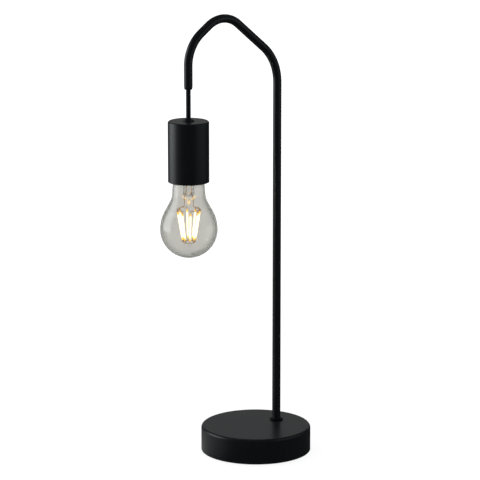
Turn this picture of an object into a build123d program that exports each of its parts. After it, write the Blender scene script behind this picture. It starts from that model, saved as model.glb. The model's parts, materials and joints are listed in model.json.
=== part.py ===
from build123d import *
import os
from math import cos, radians, sin, sqrt, tan

# A table lamp: a round weighted base, a tube bent over like a shepherd's crook, and a
# lampholder that hangs from the tube's mouth on a short cord and carries a filament lamp.
# Millimetres. +Z is up, the origin is the centre of the face the lamp stands on, and the
# tube's bends lie in the XZ plane, with the lampholder on the -X side.

# Base
base_diameter = 118.0
base_height = 28.0
shell_wall = 1.2
shell_edge_radius = 1.5
rim_height = 0.8  # the pad holds the shell's rim this far off the table
pad_inset = 4.0  # from the base's edge
pad_thickness = 2.0
plate_thickness = 2.0
weight_thickness = 17.5
web_thickness = 6.0  # iron left above the pocket
pocket_width = 32.0
pocket_back_length = 18.0  # from the lamp's axis to the pocket's closed end
screw_inset = 18.0  # from the base's edge to each screw
screw_count = 3
screw_diameter = 4.0
screw_head_diameter = 7.6
screw_length = 12.0
recess_width = 0.9  # of the cross in each head
boss_diameter = 12.0
pad_hole_margin = 1.0
channel_margin = 1.0  # iron kept clear of the cable entry

# Tube and its foot
tube_diameter = 9.0
tube_wall = 1.0
tube_offset = 28.5  # from the base's axis to the upright's axis
crown_offset = 43.5  # the crown's corner lies this far from the base's axis
crown_rise_height = 58.4  # from the upright's corner to the crown's
crown_fall_height = 32.9  # from the crown's corner to the last one
drop_length = 44.8  # from the last corner to the mouth
shoulder_bend_radius = 50.0
crown_bend_radius = 32.0
drop_bend_radius = 40.0
mouth_height = 404.0
pendant_offset = 90.0  # from the base's axis to the lampholder's axis
thread_end_length = 7.0  # of the tube, below the pocket's roof
collar_diameter = 14.4
collar_height = 1.4
washer_diameter = 18.0
washer_thickness = 1.5
nut_across_flats = 13.0
nut_thickness = 4.5

# Cable entry and terminal block
entry_height = 12.0
entry_bore = 6.2
entry_neck = 9.0
entry_flange = 12.0
entry_flange_thickness = 1.5
block_length = 16.0
block_spacing = 8.5
block_height = 10.0
block_bore = 3.0
block_margin = 4.0  # from the pocket's closed end
block_corner_radius = 2.0
pole_gap = 1.5
insert_wall = 0.8
insert_inset = 1.0
block_screw_diameter = 2.6
block_screw_depth = 1.0
slot_width = 0.5
slot_depth = 0.7

# Cord
cord_diameter = 5.0
core_diameter = 2.0
core_offset = 1.2  # from the cord's axis to each wire's
bare_length = 8.0  # of the wires, outside the sheath
cord_drop_length = 33.0  # cord in view between the tube's mouth and the lampholder
knuckle_gap = 0.3

# Mouth bush
bush_flange_thickness = 1.5
bush_length = 8.0
bush_bore = 5.6

# Lampholder
holder_diameter = 43.0
holder_height = 64.0
holder_wall = 1.0
holder_edge_radius = 1.2
grip_diameter = 13.0
grip_dome_height = 4.0
grip_lip_width = 1.0
nipple_diameter = 10.0
nipple_length = 9.0
body_diameter = 39.0
body_wall = 3.0
body_recess_depth = 4.0  # from the cup's lip up to the insulating body
body_chamfer_width = 1.5
cap_height = 26.0
cap_boss_diameter = 17.0
cap_boss_height = 7.0
cap_slope_height = 3.5  # the drop from the boss to the cap's side
carrier_diameter = 31.0
carrier_thickness = 8.5
shell_sleeve_bore = 26.6
shell_sleeve_wall = 0.5
sleeve_length = 21.0
contact_strip_width = 6.0
contact_strip_thickness = 0.5
contact_rise_height = 1.4  # of the sprung strip, from its foot to the carrier
contact_half_length = 4.0
contact_bend_offset = 3.0
contact_reach_length = 7.0
contact_fold_length = 2.0
rivet_radius = 1.5
terminal_size = 5.0
terminal_spacing = 16.0
terminal_floor_thickness = 1.0
terminal_screw_diameter = 2.6

# Lamp
lamp_diameter = 60.0
lamp_length = 106.0
lamp_seat_depth = 25.5  # of the lamp's end, above the holder's lip
glass_wall = 0.9
shoulder_arc_radius = 40.0
shoulder_slope = 28.6  # degrees from the lamp's axis
neck_diameter = 35.2
neck_top_diameter = 33.6
neck_fillet_radius = 20.0
neck_height = 46.0  # above the globe's centre
throat_diameter = 22.6
throat_height = 51.5
throat_length = 6.0
cap_diameter = 26.2
cap_wall = 0.5
cap_skirt_diameter = 27.0
cap_skirt_length = 2.5
cap_cone_length = 1.5
cap_cone_diameter = 22.0
insulator_length = 2.5
eyelet_diameter = 9.6
eyelet_height = 1.0
eyelet_flat_radius = 2.0
eyelet_margin = 0.6  # of the insulator, round the eyelet
stem_diameter = 11.6
stem_wall = 1.0
stem_end_height = 32.0  # above the globe's centre
stem_pinch_length = 5.6
stem_pinch_thickness = 4.0
stem_pinch_width = 14.0  # at its widest
stem_pinch_taper_length = 3.2  # from there to its foot
stem_rod_diameter = 3.2
stem_rod_length = 3.5
stem_bead_diameter = 4.6
flare_wall = 1.0
shank_radius = 1.2
recess_depth = 1.0  # of the insulator, inside the cap's cone
board_thickness = 1.0
board_part_height = 5.0

# Filaments
filament_count = 8
filament_diameter = 1.7
filament_top_height = 20.8  # above the globe's centre
filament_foot_height = -13.2  # below it
filament_top_radius = 12.0
filament_foot_radius = 6.3
lamp_angle = -51.0  # degrees, of the leads' plane round the lamp's axis, screwed home
tab_length = 2.2
tab_width = 1.5
tab_thickness = 0.4
support_wire_diameter = 0.9
lead_wire_spacing = 9.6
lead_wire_bend_height = 24.4
lead_wire_bend_radius = 2.0
inner_lead_spacing = 5.6

# Clearances
seat_gap = 0.1  # round a piece that sits still in a hole
slip_gap = 0.3  # between pieces that move past each other
cement_gap = 0.3  # between the glass and what turns inside it

# Worked-out sizes and places
base_radius = base_diameter / 2
pad_radius = base_radius - pad_inset
screw_circle_radius = base_radius - screw_inset
tube_radius = tube_diameter / 2
cord_radius = cord_diameter / 2
plate_top = pad_thickness + plate_thickness
shell_underside = base_height - shell_wall
weight_bottom = shell_underside - weight_thickness
pocket_roof = shell_underside - web_thickness
tube_foot = pocket_roof - thread_end_length
drop_corner_height = mouth_height + drop_length
crown_corner_height = drop_corner_height + crown_fall_height
upright_corner_height = crown_corner_height - crown_rise_height
holder_top = mouth_height - cord_drop_length
holder_lip = holder_top - holder_height
body_bottom = holder_lip + body_recess_depth
body_top = holder_top - holder_wall
globe_radius = lamp_diameter / 2
lamp_top = holder_lip + lamp_seat_depth
globe_height = lamp_top - lamp_length + globe_radius
pendant_axis = Axis((-pendant_offset, 0, 0), (0, 0, 1))


def upright_plane(height):
    """A level plane at this height, with its origin on the upright's axis."""
    return Plane((tube_offset, 0, height))


def pendant_plane(height):
    """A level plane at this height, with its origin on the lampholder's axis."""
    return Plane((-pendant_offset, 0, height))


def pendant_section(height):
    """The XZ plane, with its origin on the lampholder's axis at this height."""
    return Plane((-pendant_offset, 0, height), x_dir=(1, 0, 0), z_dir=(0, -1, 0))


def lamp_plane(height):
    """A level plane at this height, with its origin on the lamp's axis and x to one lead."""
    lead_way = (cos(radians(lamp_angle)), sin(radians(lamp_angle)), 0)
    return Plane((-pendant_offset, 0, height), x_dir=lead_way, z_dir=(0, 0, 1))


def lamp_section(height):
    """The upright plane through both leads, with its origin on the lamp's axis."""
    level = lamp_plane(height)
    return Plane(level.origin, x_dir=level.x_dir, z_dir=-level.y_dir)


os.makedirs("parts", exist_ok=True)

# Base shell: a pressed steel cup, open underneath
with BuildPart() as base_shell:
    with BuildSketch(Plane.XY.offset(rim_height)):
        Circle(base_radius)
    extrude(amount=base_height - rim_height)
    fillet(base_shell.faces().sort_by(Axis.Z)[-1].edges(), shell_edge_radius)
    with BuildSketch(Plane.XY.offset(rim_height)):
        Circle(base_radius - shell_wall)
    extrude(amount=shell_underside - rim_height, mode=Mode.SUBTRACT)
    with BuildSketch(upright_plane(shell_underside)):
        Circle(tube_radius + seat_gap)
    extrude(amount=shell_wall, mode=Mode.SUBTRACT)
    with BuildSketch(Plane.YZ.offset(base_radius + shell_wall)):
        with Locations((0, entry_height)):
            Circle(entry_neck / 2 + seat_gap)
    extrude(amount=-4 * shell_wall, mode=Mode.SUBTRACT)
base_shell.part.label = "base_shell"
export_step(base_shell.part, "parts/base_shell.step")

# Base weight: an iron casting, with a pocket for the tube's end and the terminal block
with BuildPart() as base_weight:
    weight_radius = base_radius - shell_wall - seat_gap
    with BuildSketch(Plane.XY.offset(weight_bottom)):
        Circle(weight_radius)
    extrude(amount=weight_thickness)
    with BuildSketch(Plane.XY.offset(plate_top)):
        with PolarLocations(screw_circle_radius, screw_count, start_angle=60):
            Circle(boss_diameter / 2)
    extrude(amount=weight_bottom - plate_top)
    with BuildSketch(Plane.XY.offset(weight_bottom)):
        with Locations(((tube_offset - pocket_back_length) / 2, 0)):
            SlotCenterToCenter(tube_offset + pocket_back_length, pocket_width)
    extrude(amount=pocket_roof - weight_bottom, mode=Mode.SUBTRACT)
    channel_half = entry_neck / 2 + channel_margin
    with BuildSketch(Plane.XY.offset(weight_bottom)):
        with Locations(((tube_offset + base_radius) / 2, 0)):
            Rectangle(base_radius - tube_offset, 2 * channel_half)
    extrude(amount=entry_height + channel_half - weight_bottom, mode=Mode.SUBTRACT)
    with BuildSketch(upright_plane(pocket_roof)):
        Circle(tube_radius + seat_gap)
    extrude(amount=web_thickness, mode=Mode.SUBTRACT)
    with BuildSketch(Plane.XY.offset(plate_top)):
        with PolarLocations(screw_circle_radius, screw_count, start_angle=60):
            Circle(screw_diameter / 2 + seat_gap)
    extrude(amount=screw_length, mode=Mode.SUBTRACT)
base_weight.part.label = "base_weight"
export_step(base_weight.part, "parts/base_weight.step")

# Base plate: the steel disc that closes the shell, with countersunk holes
with BuildPart() as base_plate:
    with BuildSketch(Plane.XY.offset(pad_thickness)):
        Circle(base_radius - shell_wall - slip_gap)
    extrude(amount=plate_thickness)
    with Locations(Plane.XY.offset(pad_thickness) * Rotation(180, 0, 0)):
        with PolarLocations(screw_circle_radius, screw_count, start_angle=-60):
            CounterSinkHole(
                screw_diameter / 2 + seat_gap,
                screw_head_diameter / 2 + seat_gap,
                depth=plate_thickness,
            )
base_plate.part.label = "base_plate"
export_step(base_plate.part, "parts/base_plate.step")

# Base pad: the non-slip disc that the lamp stands on, open under each screw
with BuildPart() as base_pad:
    with BuildSketch(Plane.XY):
        Circle(pad_radius)
        with PolarLocations(screw_circle_radius, screw_count, start_angle=60):
            Circle(screw_head_diameter / 2 + pad_hole_margin, mode=Mode.SUBTRACT)
    extrude(amount=pad_thickness)
base_pad.part.label = "base_pad"
export_step(base_pad.part, "parts/base_pad.step")

# Plate screws: countersunk, from below into the weight's bosses
with BuildPart() as plate_screws:
    head_length = (screw_head_diameter - screw_diameter) / 2
    for place in PolarLocations(screw_circle_radius, screw_count, start_angle=60):
        middle = place.position
        section = Plane(
            (middle.X, middle.Y, pad_thickness), x_dir=(1, 0, 0), z_dir=(0, -1, 0)
        )
        with BuildSketch(section):
            with BuildLine():
                Polyline(
                    (0, 0),
                    (screw_head_diameter / 2, 0),
                    (screw_diameter / 2, head_length),
                    (screw_diameter / 2, screw_length),
                    (0, screw_length),
                    close=True,
                )
            make_face()
        revolve(axis=Axis(middle, (0, 0, 1)))
        with BuildSketch(Plane((middle.X, middle.Y, pad_thickness))):
            Rectangle(screw_head_diameter * 0.6, recess_width)
            Rectangle(recess_width, screw_head_diameter * 0.6)
        extrude(amount=head_length * 0.6, mode=Mode.SUBTRACT)
plate_screws.part.label = "plate_screws"
export_step(plate_screws.part, "parts/plate_screws.step")

# Tube: one length of round steel tube, bent three times in one plane
tube_corners = [
    (tube_offset, upright_corner_height),
    (-crown_offset, crown_corner_height),
    (-pendant_offset, drop_corner_height),
]
bend_radii = [shoulder_bend_radius, crown_bend_radius, drop_bend_radius]
with BuildPart() as tube:
    with BuildLine(Plane.XZ) as tube_route:
        FilletPolyline(
            (tube_offset, tube_foot),
            *tube_corners,
            (-pendant_offset, mouth_height + bush_flange_thickness),
            radius=bend_radii,
        )
    with BuildSketch(upright_plane(tube_foot)):
        Circle(tube_radius)
        Circle(tube_radius - tube_wall, mode=Mode.SUBTRACT)
    sweep(path=tube_route.wires()[0])
tube.part.label = "tube"
export_step(tube.part, "parts/tube.step")

# Foot collar: the ring on the tube that bears on the base
with BuildPart() as foot_collar:
    with BuildSketch(upright_plane(base_height)):
        Circle(collar_diameter / 2)
        Circle(tube_radius + seat_gap, mode=Mode.SUBTRACT)
    extrude(amount=collar_height)
    collar_rim = foot_collar.edges().filter_by(GeomType.CIRCLE)
    collar_rim = collar_rim.group_by(Axis.Z)[-1].sort_by(SortBy.RADIUS)[-1]
    fillet(collar_rim, collar_height * 0.4)
foot_collar.part.label = "foot_collar"
export_step(foot_collar.part, "parts/foot_collar.step")

# Foot washer and nut: under the weight's web, on the tube's threaded end
with BuildPart() as foot_washer:
    with BuildSketch(upright_plane(pocket_roof)):
        Circle(washer_diameter / 2)
        Circle(tube_radius + seat_gap, mode=Mode.SUBTRACT)
    extrude(amount=-washer_thickness)
foot_washer.part.label = "foot_washer"
export_step(foot_washer.part, "parts/foot_washer.step")

with BuildPart() as foot_nut:
    nut_top = pocket_roof - washer_thickness
    with BuildSketch(upright_plane(nut_top)):
        RegularPolygon(nut_across_flats / 2, 6, major_radius=False)
        Circle(tube_radius + seat_gap, mode=Mode.SUBTRACT)
    extrude(amount=-nut_thickness)
foot_nut.part.label = "foot_nut"
export_step(foot_nut.part, "parts/foot_nut.step")

# Cable entry: a grommet in the shell's rear wall
with BuildPart() as cable_entry:
    entry_inner = sqrt((base_radius - shell_wall) ** 2 - (entry_flange / 2) ** 2)
    neck_length = base_radius - entry_inner
    with BuildSketch(Plane.YZ.offset(entry_inner)):
        with Locations((0, entry_height)):
            Circle(entry_neck / 2)
    extrude(amount=neck_length)
    with BuildSketch(Plane.YZ.offset(base_radius)):
        with Locations((0, entry_height)):
            Circle(entry_flange / 2)
    extrude(amount=entry_flange_thickness)
    fillet(cable_entry.faces().sort_by(Axis.X)[-1].edges(), entry_flange_thickness * 0.6)
    with BuildSketch(Plane.YZ.offset(entry_inner)):
        with Locations((0, entry_height)):
            Circle(entry_flange / 2 - 0.5)
    extrude(amount=-entry_flange_thickness)
    with BuildSketch(Plane.YZ.offset(entry_inner - entry_flange_thickness)):
        with Locations((0, entry_height)):
            Circle(entry_bore / 2)
    extrude(
        amount=neck_length + 2 * entry_flange_thickness,
        mode=Mode.SUBTRACT,
    )
cable_entry.part.label = "cable_entry"
export_step(cable_entry.part, "parts/cable_entry.step")

# Terminal block: two poles under the pocket's roof, joined by a web
block_end = block_margin - pocket_back_length
block_axis_height = pocket_roof - block_height / 2
with BuildPart() as terminal_block:
    with BuildSketch(Plane.YZ.offset(block_end)):
        with GridLocations(block_spacing, 0, 2, 1):
            with Locations((0, block_axis_height)):
                RectangleRounded(
                    block_spacing - pole_gap, block_height, block_corner_radius
                )
        with Locations((0, pocket_roof - block_height / 4)):
            Rectangle(block_spacing, block_height / 2)
    extrude(amount=block_length)
    with BuildSketch(Plane.YZ.offset(block_end)):
        with GridLocations(block_spacing, 0, 2, 1):
            with Locations((0, block_axis_height)):
                Circle(block_bore / 2 + insert_wall + seat_gap)
    extrude(amount=block_length, mode=Mode.SUBTRACT)
    block_middle = block_end + block_length / 2
    with BuildSketch(Plane((block_middle, 0, pocket_roof - block_height))):
        with GridLocations(block_length / 2, block_spacing, 2, 2):
            Circle(block_screw_diameter / 2 + seat_gap)
    extrude(amount=block_height / 2, mode=Mode.SUBTRACT)
terminal_block.part.label = "terminal_block"
export_step(terminal_block.part, "parts/terminal_block.step")

# Block inserts: the brass tubes that the wires enter
with BuildPart() as block_inserts:
    with BuildSketch(Plane.YZ.offset(block_end + insert_inset)):
        with GridLocations(block_spacing, 0, 2, 1):
            with Locations((0, block_axis_height)):
                Circle(block_bore / 2 + insert_wall)
                Circle(block_bore / 2, mode=Mode.SUBTRACT)
    extrude(amount=block_length - 2 * insert_inset)
    with BuildSketch(Plane((block_middle, 0, pocket_roof - block_height))):
        with GridLocations(block_length / 2, block_spacing, 2, 2):
            Circle(block_screw_diameter / 2 + seat_gap)
    extrude(amount=block_height / 2, mode=Mode.SUBTRACT)
block_inserts.part.label = "block_inserts"
export_step(block_inserts.part, "parts/block_inserts.step")

# Block screws: four slotted screws, down on the wires' places
with BuildPart() as block_screws:
    screw_tip = block_axis_height - core_diameter / 2 - seat_gap
    screw_face = pocket_roof - block_height + block_screw_depth
    with BuildSketch(Plane((block_middle, 0, screw_face))):
        with GridLocations(block_length / 2, block_spacing, 2, 2):
            Circle(block_screw_diameter / 2)
    extrude(amount=screw_tip - screw_face)
    with BuildSketch(Plane((block_middle, 0, screw_face))):
        with GridLocations(block_length / 2, block_spacing, 2, 2):
            Rectangle(block_screw_diameter, slot_width)
    extrude(amount=slot_depth, mode=Mode.SUBTRACT)
block_screws.part.label = "block_screws"
export_step(block_screws.part, "parts/block_screws.step")

# Lead-in cord: from the terminal block, up the tube and round its bends to the mouth
cord_level = plate_top + cord_radius + seat_gap
sheath_end = block_end + block_length + bare_length
foot_turn_radius = 8.0
with BuildPart() as lead_in_cord:
    with BuildLine(Plane.XZ) as cord_route:
        FilletPolyline(
            (sheath_end, cord_level),
            (tube_offset, cord_level),
            *tube_corners,
            (-pendant_offset, mouth_height + cord_radius + knuckle_gap),
            radius=[foot_turn_radius, *bend_radii],
        )
    with BuildSketch(Plane.YZ.offset(sheath_end)):
        with Locations((0, cord_level)):
            Circle(cord_radius)
    sweep(path=cord_route.wires()[0])
lead_in_cord.part.label = "lead_in_cord"
export_step(lead_in_cord.part, "parts/lead_in_cord.step")

# Lead-in cores: the two wires between the cord's sheath and the terminal block
with BuildPart() as lead_in_cores:
    core_reach = block_end + block_length
    for side in (-1, 1):
        with BuildLine() as core_route:
            FilletPolyline(
                (sheath_end, side * core_offset, cord_level),
                (sheath_end - bare_length * 0.37, side * core_offset, cord_level),
                (sheath_end - bare_length * 0.56, side * block_spacing / 2, block_axis_height),
                (core_reach - block_length * 0.3, side * block_spacing / 2, block_axis_height),
                radius=core_diameter,
            )
        with BuildSketch(Plane(core_route.wires()[0] ^ 0)):
            Circle(core_diameter / 2)
        sweep(path=core_route.wires()[0])
lead_in_cores.part.label = "lead_in_cores"
export_step(lead_in_cores.part, "parts/lead_in_cores.step")

# Mouth bush: the plastic nose in the tube's mouth, belled so that the cord can swing
with BuildPart() as mouth_bush:
    with BuildSketch(pendant_section(mouth_height)):
        with BuildLine():
            Polyline(
                (bush_bore / 2, 0),
                (tube_radius, 0),
                (tube_radius, bush_flange_thickness),
                (tube_radius - tube_wall - seat_gap, bush_flange_thickness),
                (tube_radius - tube_wall - seat_gap, bush_length),
                (bush_bore / 2, bush_length),
                close=True,
            )
        make_face()
    revolve(axis=pendant_axis)
    mouth_edges = mouth_bush.edges().filter_by(GeomType.CIRCLE)
    mouth_edges = mouth_edges.group_by(Axis.Z)[0].sort_by(SortBy.RADIUS)
    fillet(mouth_edges[-1], bush_flange_thickness * 0.8)
    mouth_edges = mouth_bush.edges().filter_by(GeomType.CIRCLE)
    mouth_edges = mouth_edges.group_by(Axis.Z)[0].sort_by(SortBy.RADIUS)
    fillet(mouth_edges[0], bush_flange_thickness * 0.25)
mouth_bush.part.label = "mouth_bush"
export_step(mouth_bush.part, "parts/mouth_bush.step")

# Cord bend: the short length of cord that flexes in the tube's mouth
with BuildPart() as cord_bend:
    with Locations((-pendant_offset, 0, mouth_height)):
        Sphere(cord_radius)
cord_bend.part.label = "cord_bend"
export_step(cord_bend.part, "parts/cord_bend.step")

# Pendant cord: straight down from the mouth, through the grip, into the lampholder
cord_top = mouth_height - cord_radius - knuckle_gap
cord_end = body_top - nipple_length - core_diameter * 0.75
with BuildPart() as pendant_cord:
    with BuildSketch(pendant_plane(cord_end)):
        Circle(cord_radius)
    extrude(amount=cord_top - cord_end)
pendant_cord.part.label = "pendant_cord"
export_step(pendant_cord.part, "parts/pendant_cord.step")

# Cord grip: a domed nut with a nipple that clamps the cup to the insulating cap
with BuildPart() as cord_grip:
    with BuildSketch(pendant_section(holder_top)):
        with BuildLine():
            Polyline(
                (grip_diameter / 2, 0),
                (nipple_diameter / 2, 0),
                (nipple_diameter / 2, -nipple_length - holder_wall),
                (cord_radius + seat_gap, -nipple_length - holder_wall),
                (cord_radius + seat_gap, grip_dome_height),
                (cord_radius + grip_lip_width, grip_dome_height),
            )
            ThreePointArc(
                (cord_radius + grip_lip_width, grip_dome_height),
                (grip_diameter * 0.42, grip_dome_height * 0.68),
                (grip_diameter / 2, 0),
            )
        make_face()
    revolve(axis=pendant_axis)
cord_grip.part.label = "cord_grip"
export_step(cord_grip.part, "parts/cord_grip.step")

# Holder cup: the deep-drawn metal cup, flat on top and open below
holder_radius = holder_diameter / 2
with BuildPart() as holder_cup:
    with BuildSketch(pendant_plane(holder_lip)):
        Circle(holder_radius)
    extrude(amount=holder_height)
    fillet(holder_cup.faces().sort_by(Axis.Z)[-1].edges(), holder_edge_radius)
    with BuildSketch(pendant_plane(holder_lip)):
        Circle(holder_radius - holder_wall)
    extrude(amount=holder_height - holder_wall, mode=Mode.SUBTRACT)
    with BuildSketch(pendant_plane(body_top)):
        Circle(nipple_diameter / 2 + seat_gap)
    extrude(amount=holder_wall, mode=Mode.SUBTRACT)
holder_cup.part.label = "holder_cup"
export_step(holder_cup.part, "parts/holder_cup.step")

# Holder cap: the insulating cap inside the cup, with a boss for the grip's nipple
cap_bottom = body_top - cap_height
body_radius = body_diameter / 2
with BuildPart() as holder_cap:
    boss_foot = cap_height - cap_boss_height
    shoulder_height = boss_foot - cap_slope_height
    with BuildSketch(pendant_section(cap_bottom)):
        with BuildLine():
            Polyline(
                (nipple_diameter / 2 + seat_gap, cap_height),
                (cap_boss_diameter / 2, cap_height),
                (cap_boss_diameter / 2, boss_foot),
                (body_radius, shoulder_height),
                (body_radius, 0),
                (body_radius - body_wall, 0),
                (body_radius - body_wall, shoulder_height - body_wall * 0.85),
                (nipple_diameter / 2 + seat_gap, shoulder_height),
                close=True,
            )
        make_face()
    revolve(axis=pendant_axis)
holder_cap.part.label = "holder_cap"
export_step(holder_cap.part, "parts/holder_cap.step")

# Holder body: the insulating sleeve round the threaded shell
contact_height = lamp_top + seat_gap
carrier_bottom = contact_height + contact_strip_thickness + contact_rise_height
sleeve_radius = shell_sleeve_bore / 2 + shell_sleeve_wall
sleeve_bottom = carrier_bottom - sleeve_length
with BuildPart() as holder_body:
    with BuildSketch(pendant_section(body_bottom)):
        with BuildLine():
            Polyline(
                (body_radius, 0),
                (body_radius, cap_bottom - body_bottom),
                (carrier_diameter / 2 + seat_gap, cap_bottom - body_bottom),
                (carrier_diameter / 2 + seat_gap, carrier_bottom - body_bottom),
                (sleeve_radius + seat_gap, carrier_bottom - body_bottom),
                (sleeve_radius + seat_gap, sleeve_bottom - body_bottom),
                (cap_skirt_diameter / 2 + slip_gap, sleeve_bottom - body_bottom),
                (cap_skirt_diameter / 2 + slip_gap, body_chamfer_width),
                (cap_skirt_diameter / 2 + slip_gap + body_chamfer_width, 0),
                close=True,
            )
        make_face()
    revolve(axis=pendant_axis)
holder_body.part.label = "holder_body"
export_step(holder_body.part, "parts/holder_body.step")

# Contact carrier: the ceramic disc that holds the contacts and terminals
with BuildPart() as contact_carrier:
    with BuildSketch(pendant_plane(carrier_bottom)):
        Circle(carrier_diameter / 2)
    extrude(amount=carrier_thickness)
    carrier_top = contact_carrier.faces().sort_by(Axis.Z)[-1]
    chamfer(carrier_top.edges(), carrier_thickness * 0.1)
    with BuildSketch(pendant_plane(carrier_bottom)):
        Circle(rivet_radius + seat_gap)
    extrude(amount=carrier_thickness, mode=Mode.SUBTRACT)
contact_carrier.part.label = "contact_carrier"
export_step(contact_carrier.part, "parts/contact_carrier.step")

# Threaded shell: the sleeve the lamp's cap screws into, left smooth here
with BuildPart() as threaded_shell:
    with BuildSketch(pendant_plane(sleeve_bottom)):
        Circle(sleeve_radius)
        Circle(sleeve_radius - shell_sleeve_wall, mode=Mode.SUBTRACT)
    extrude(amount=sleeve_length)
    with BuildSketch(pendant_plane(carrier_bottom)):
        Circle(sleeve_radius)
        Circle(cap_cone_diameter / 2, mode=Mode.SUBTRACT)
    extrude(amount=-shell_sleeve_wall)
threaded_shell.part.label = "threaded_shell"
export_step(threaded_shell.part, "parts/threaded_shell.step")

# Centre contact: a sprung strip under the carrier, held by its rivet
with BuildPart() as centre_contact:
    with BuildSketch(pendant_section(contact_height)):
        with BuildLine():
            Polyline(
                (-contact_half_length, 0),
                (contact_bend_offset, 0),
                (contact_reach_length, contact_rise_height),
                (contact_reach_length, contact_rise_height + contact_strip_thickness),
                (-contact_half_length / 2, contact_rise_height + contact_strip_thickness),
                (-contact_half_length / 2, contact_rise_height),
                (contact_reach_length - contact_fold_length, contact_rise_height),
                (contact_bend_offset - contact_strip_thickness, contact_strip_thickness),
                (-contact_half_length, contact_strip_thickness),
                close=True,
            )
        make_face()
    extrude(amount=contact_strip_width / 2, both=True)
    with BuildSketch(pendant_plane(carrier_bottom)):
        Circle(rivet_radius)
    extrude(amount=carrier_thickness + contact_strip_thickness)
centre_contact.part.label = "centre_contact"
export_step(centre_contact.part, "parts/centre_contact.step")

# Holder terminals: two brass blocks on the carrier, bored for the wires
terminal_floor = carrier_bottom + carrier_thickness
wire_bore = core_diameter / 2 + seat_gap
with BuildPart() as holder_terminals:
    with BuildSketch(pendant_plane(terminal_floor)):
        with GridLocations(terminal_spacing, 0, 2, 1):
            Rectangle(terminal_size, terminal_size * 1.2)
    extrude(amount=terminal_size)
    with BuildSketch(pendant_plane(terminal_floor + terminal_size)):
        with GridLocations(terminal_spacing, 0, 2, 1):
            Circle(wire_bore)
    extrude(amount=terminal_floor_thickness - terminal_size, mode=Mode.SUBTRACT)
    with BuildSketch(Plane.XZ.offset(terminal_size)):
        with Locations((-pendant_offset, terminal_floor + terminal_size / 2)):
            with GridLocations(terminal_spacing, 0, 2, 1):
                Circle(terminal_screw_diameter / 2 + seat_gap)
    extrude(amount=-terminal_size, mode=Mode.SUBTRACT)
holder_terminals.part.label = "holder_terminals"
export_step(holder_terminals.part, "parts/holder_terminals.step")

# Terminal screws: one in the side of each brass block
with BuildPart() as terminal_screws:
    with BuildSketch(Plane.XZ.offset(wire_bore)):
        with Locations((-pendant_offset, terminal_floor + terminal_size / 2)):
            with GridLocations(terminal_spacing, 0, 2, 1):
                Circle(terminal_screw_diameter / 2)
    extrude(amount=terminal_size - wire_bore)
    with BuildSketch(Plane.XZ.offset(terminal_size)):
        with Locations((-pendant_offset, terminal_floor + terminal_size / 2)):
            with GridLocations(terminal_spacing, 0, 2, 1):
                Rectangle(terminal_screw_diameter, slot_width)
    extrude(amount=-slot_depth, mode=Mode.SUBTRACT)
terminal_screws.part.label = "terminal_screws"
export_step(terminal_screws.part, "parts/terminal_screws.step")

# Holder leads: the two wires from the cord's end down to the terminals
with BuildPart() as holder_leads:
    lead_foot = terminal_floor + terminal_floor_thickness + seat_gap
    for side in (-1, 1):
        with BuildLine(pendant_section(0)) as lead_route:
            FilletPolyline(
                (side * core_offset, cord_end),
                (side * core_offset, cord_end - 1.5 * core_diameter),
                (side * terminal_spacing / 2, terminal_floor + terminal_size * 1.7),
                (side * terminal_spacing / 2, lead_foot),
                radius=core_diameter * 0.75,
            )
        with BuildSketch(pendant_plane(cord_end)):
            with Locations((side * core_offset, 0)):
                Circle(core_diameter / 2)
        sweep(path=lead_route.wires()[0])
holder_leads.part.label = "holder_leads"
export_step(holder_leads.part, "parts/holder_leads.step")

# Lamp envelope: blown glass, a globe that narrows to a waisted neck
cone = radians(shoulder_slope)
cone_start = (
    globe_radius - shoulder_arc_radius * (1 - cos(cone)),
    shoulder_arc_radius * sin(cone),
)
neck_corner = (
    neck_diameter / 2,
    cone_start[1] + (cone_start[0] - neck_diameter / 2) / tan(cone),
)
throat_radius = throat_diameter / 2
throat_end = throat_height + throat_length
with BuildPart() as lamp_envelope:
    with BuildSketch(pendant_section(globe_height)):
        with BuildLine():
            CenterArc((0, 0), globe_radius, -90, 90)
            CenterArc(
                (globe_radius - shoulder_arc_radius, 0),
                shoulder_arc_radius,
                0,
                shoulder_slope,
            )
            neck_line = FilletPolyline(
                cone_start,
                neck_corner,
                (neck_top_diameter / 2, neck_height),
                radius=neck_fillet_radius,
            )
            TangentArc(
                (neck_top_diameter / 2, neck_height),
                (throat_radius, throat_height),
                tangent=neck_line % 1,
            )
            Polyline(
                (throat_radius, throat_height),
                (throat_radius, throat_end),
                (0, throat_end),
                (0, -globe_radius),
            )
        make_face()
    revolve(axis=pendant_axis)
    mouth_face = lamp_envelope.faces().sort_by(Axis.Z)[-1]
    offset(amount=-glass_wall, openings=mouth_face)
lamp_envelope.part.label = "lamp_envelope"
export_step(lamp_envelope.part, "parts/lamp_envelope.step")

# Lamp cap: the screw shell over the throat, left smooth here
cap_radius = cap_diameter / 2
skirt_bottom = globe_height + throat_height + cement_gap
cone_bottom = lamp_top - eyelet_height - insulator_length - cap_cone_length
with BuildPart() as lamp_cap:
    with BuildSketch(pendant_section(0)):
        with BuildLine():
            Polyline(
                (throat_radius + cement_gap, skirt_bottom),
                (cap_skirt_diameter / 2, skirt_bottom),
                (cap_skirt_diameter / 2, skirt_bottom + cap_skirt_length),
                (cap_radius, skirt_bottom + cap_skirt_length),
                (cap_radius, cone_bottom),
                (cap_cone_diameter / 2, cone_bottom + cap_cone_length),
                (cap_cone_diameter / 2 - cap_wall, cone_bottom + cap_cone_length),
                (cap_radius - cap_wall, cone_bottom),
                (throat_radius + cement_gap, cone_bottom),
                close=True,
            )
        make_face()
    revolve(axis=pendant_axis)
lamp_cap.part.label = "lamp_cap"
export_step(lamp_cap.part, "parts/lamp_cap.step")

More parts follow.
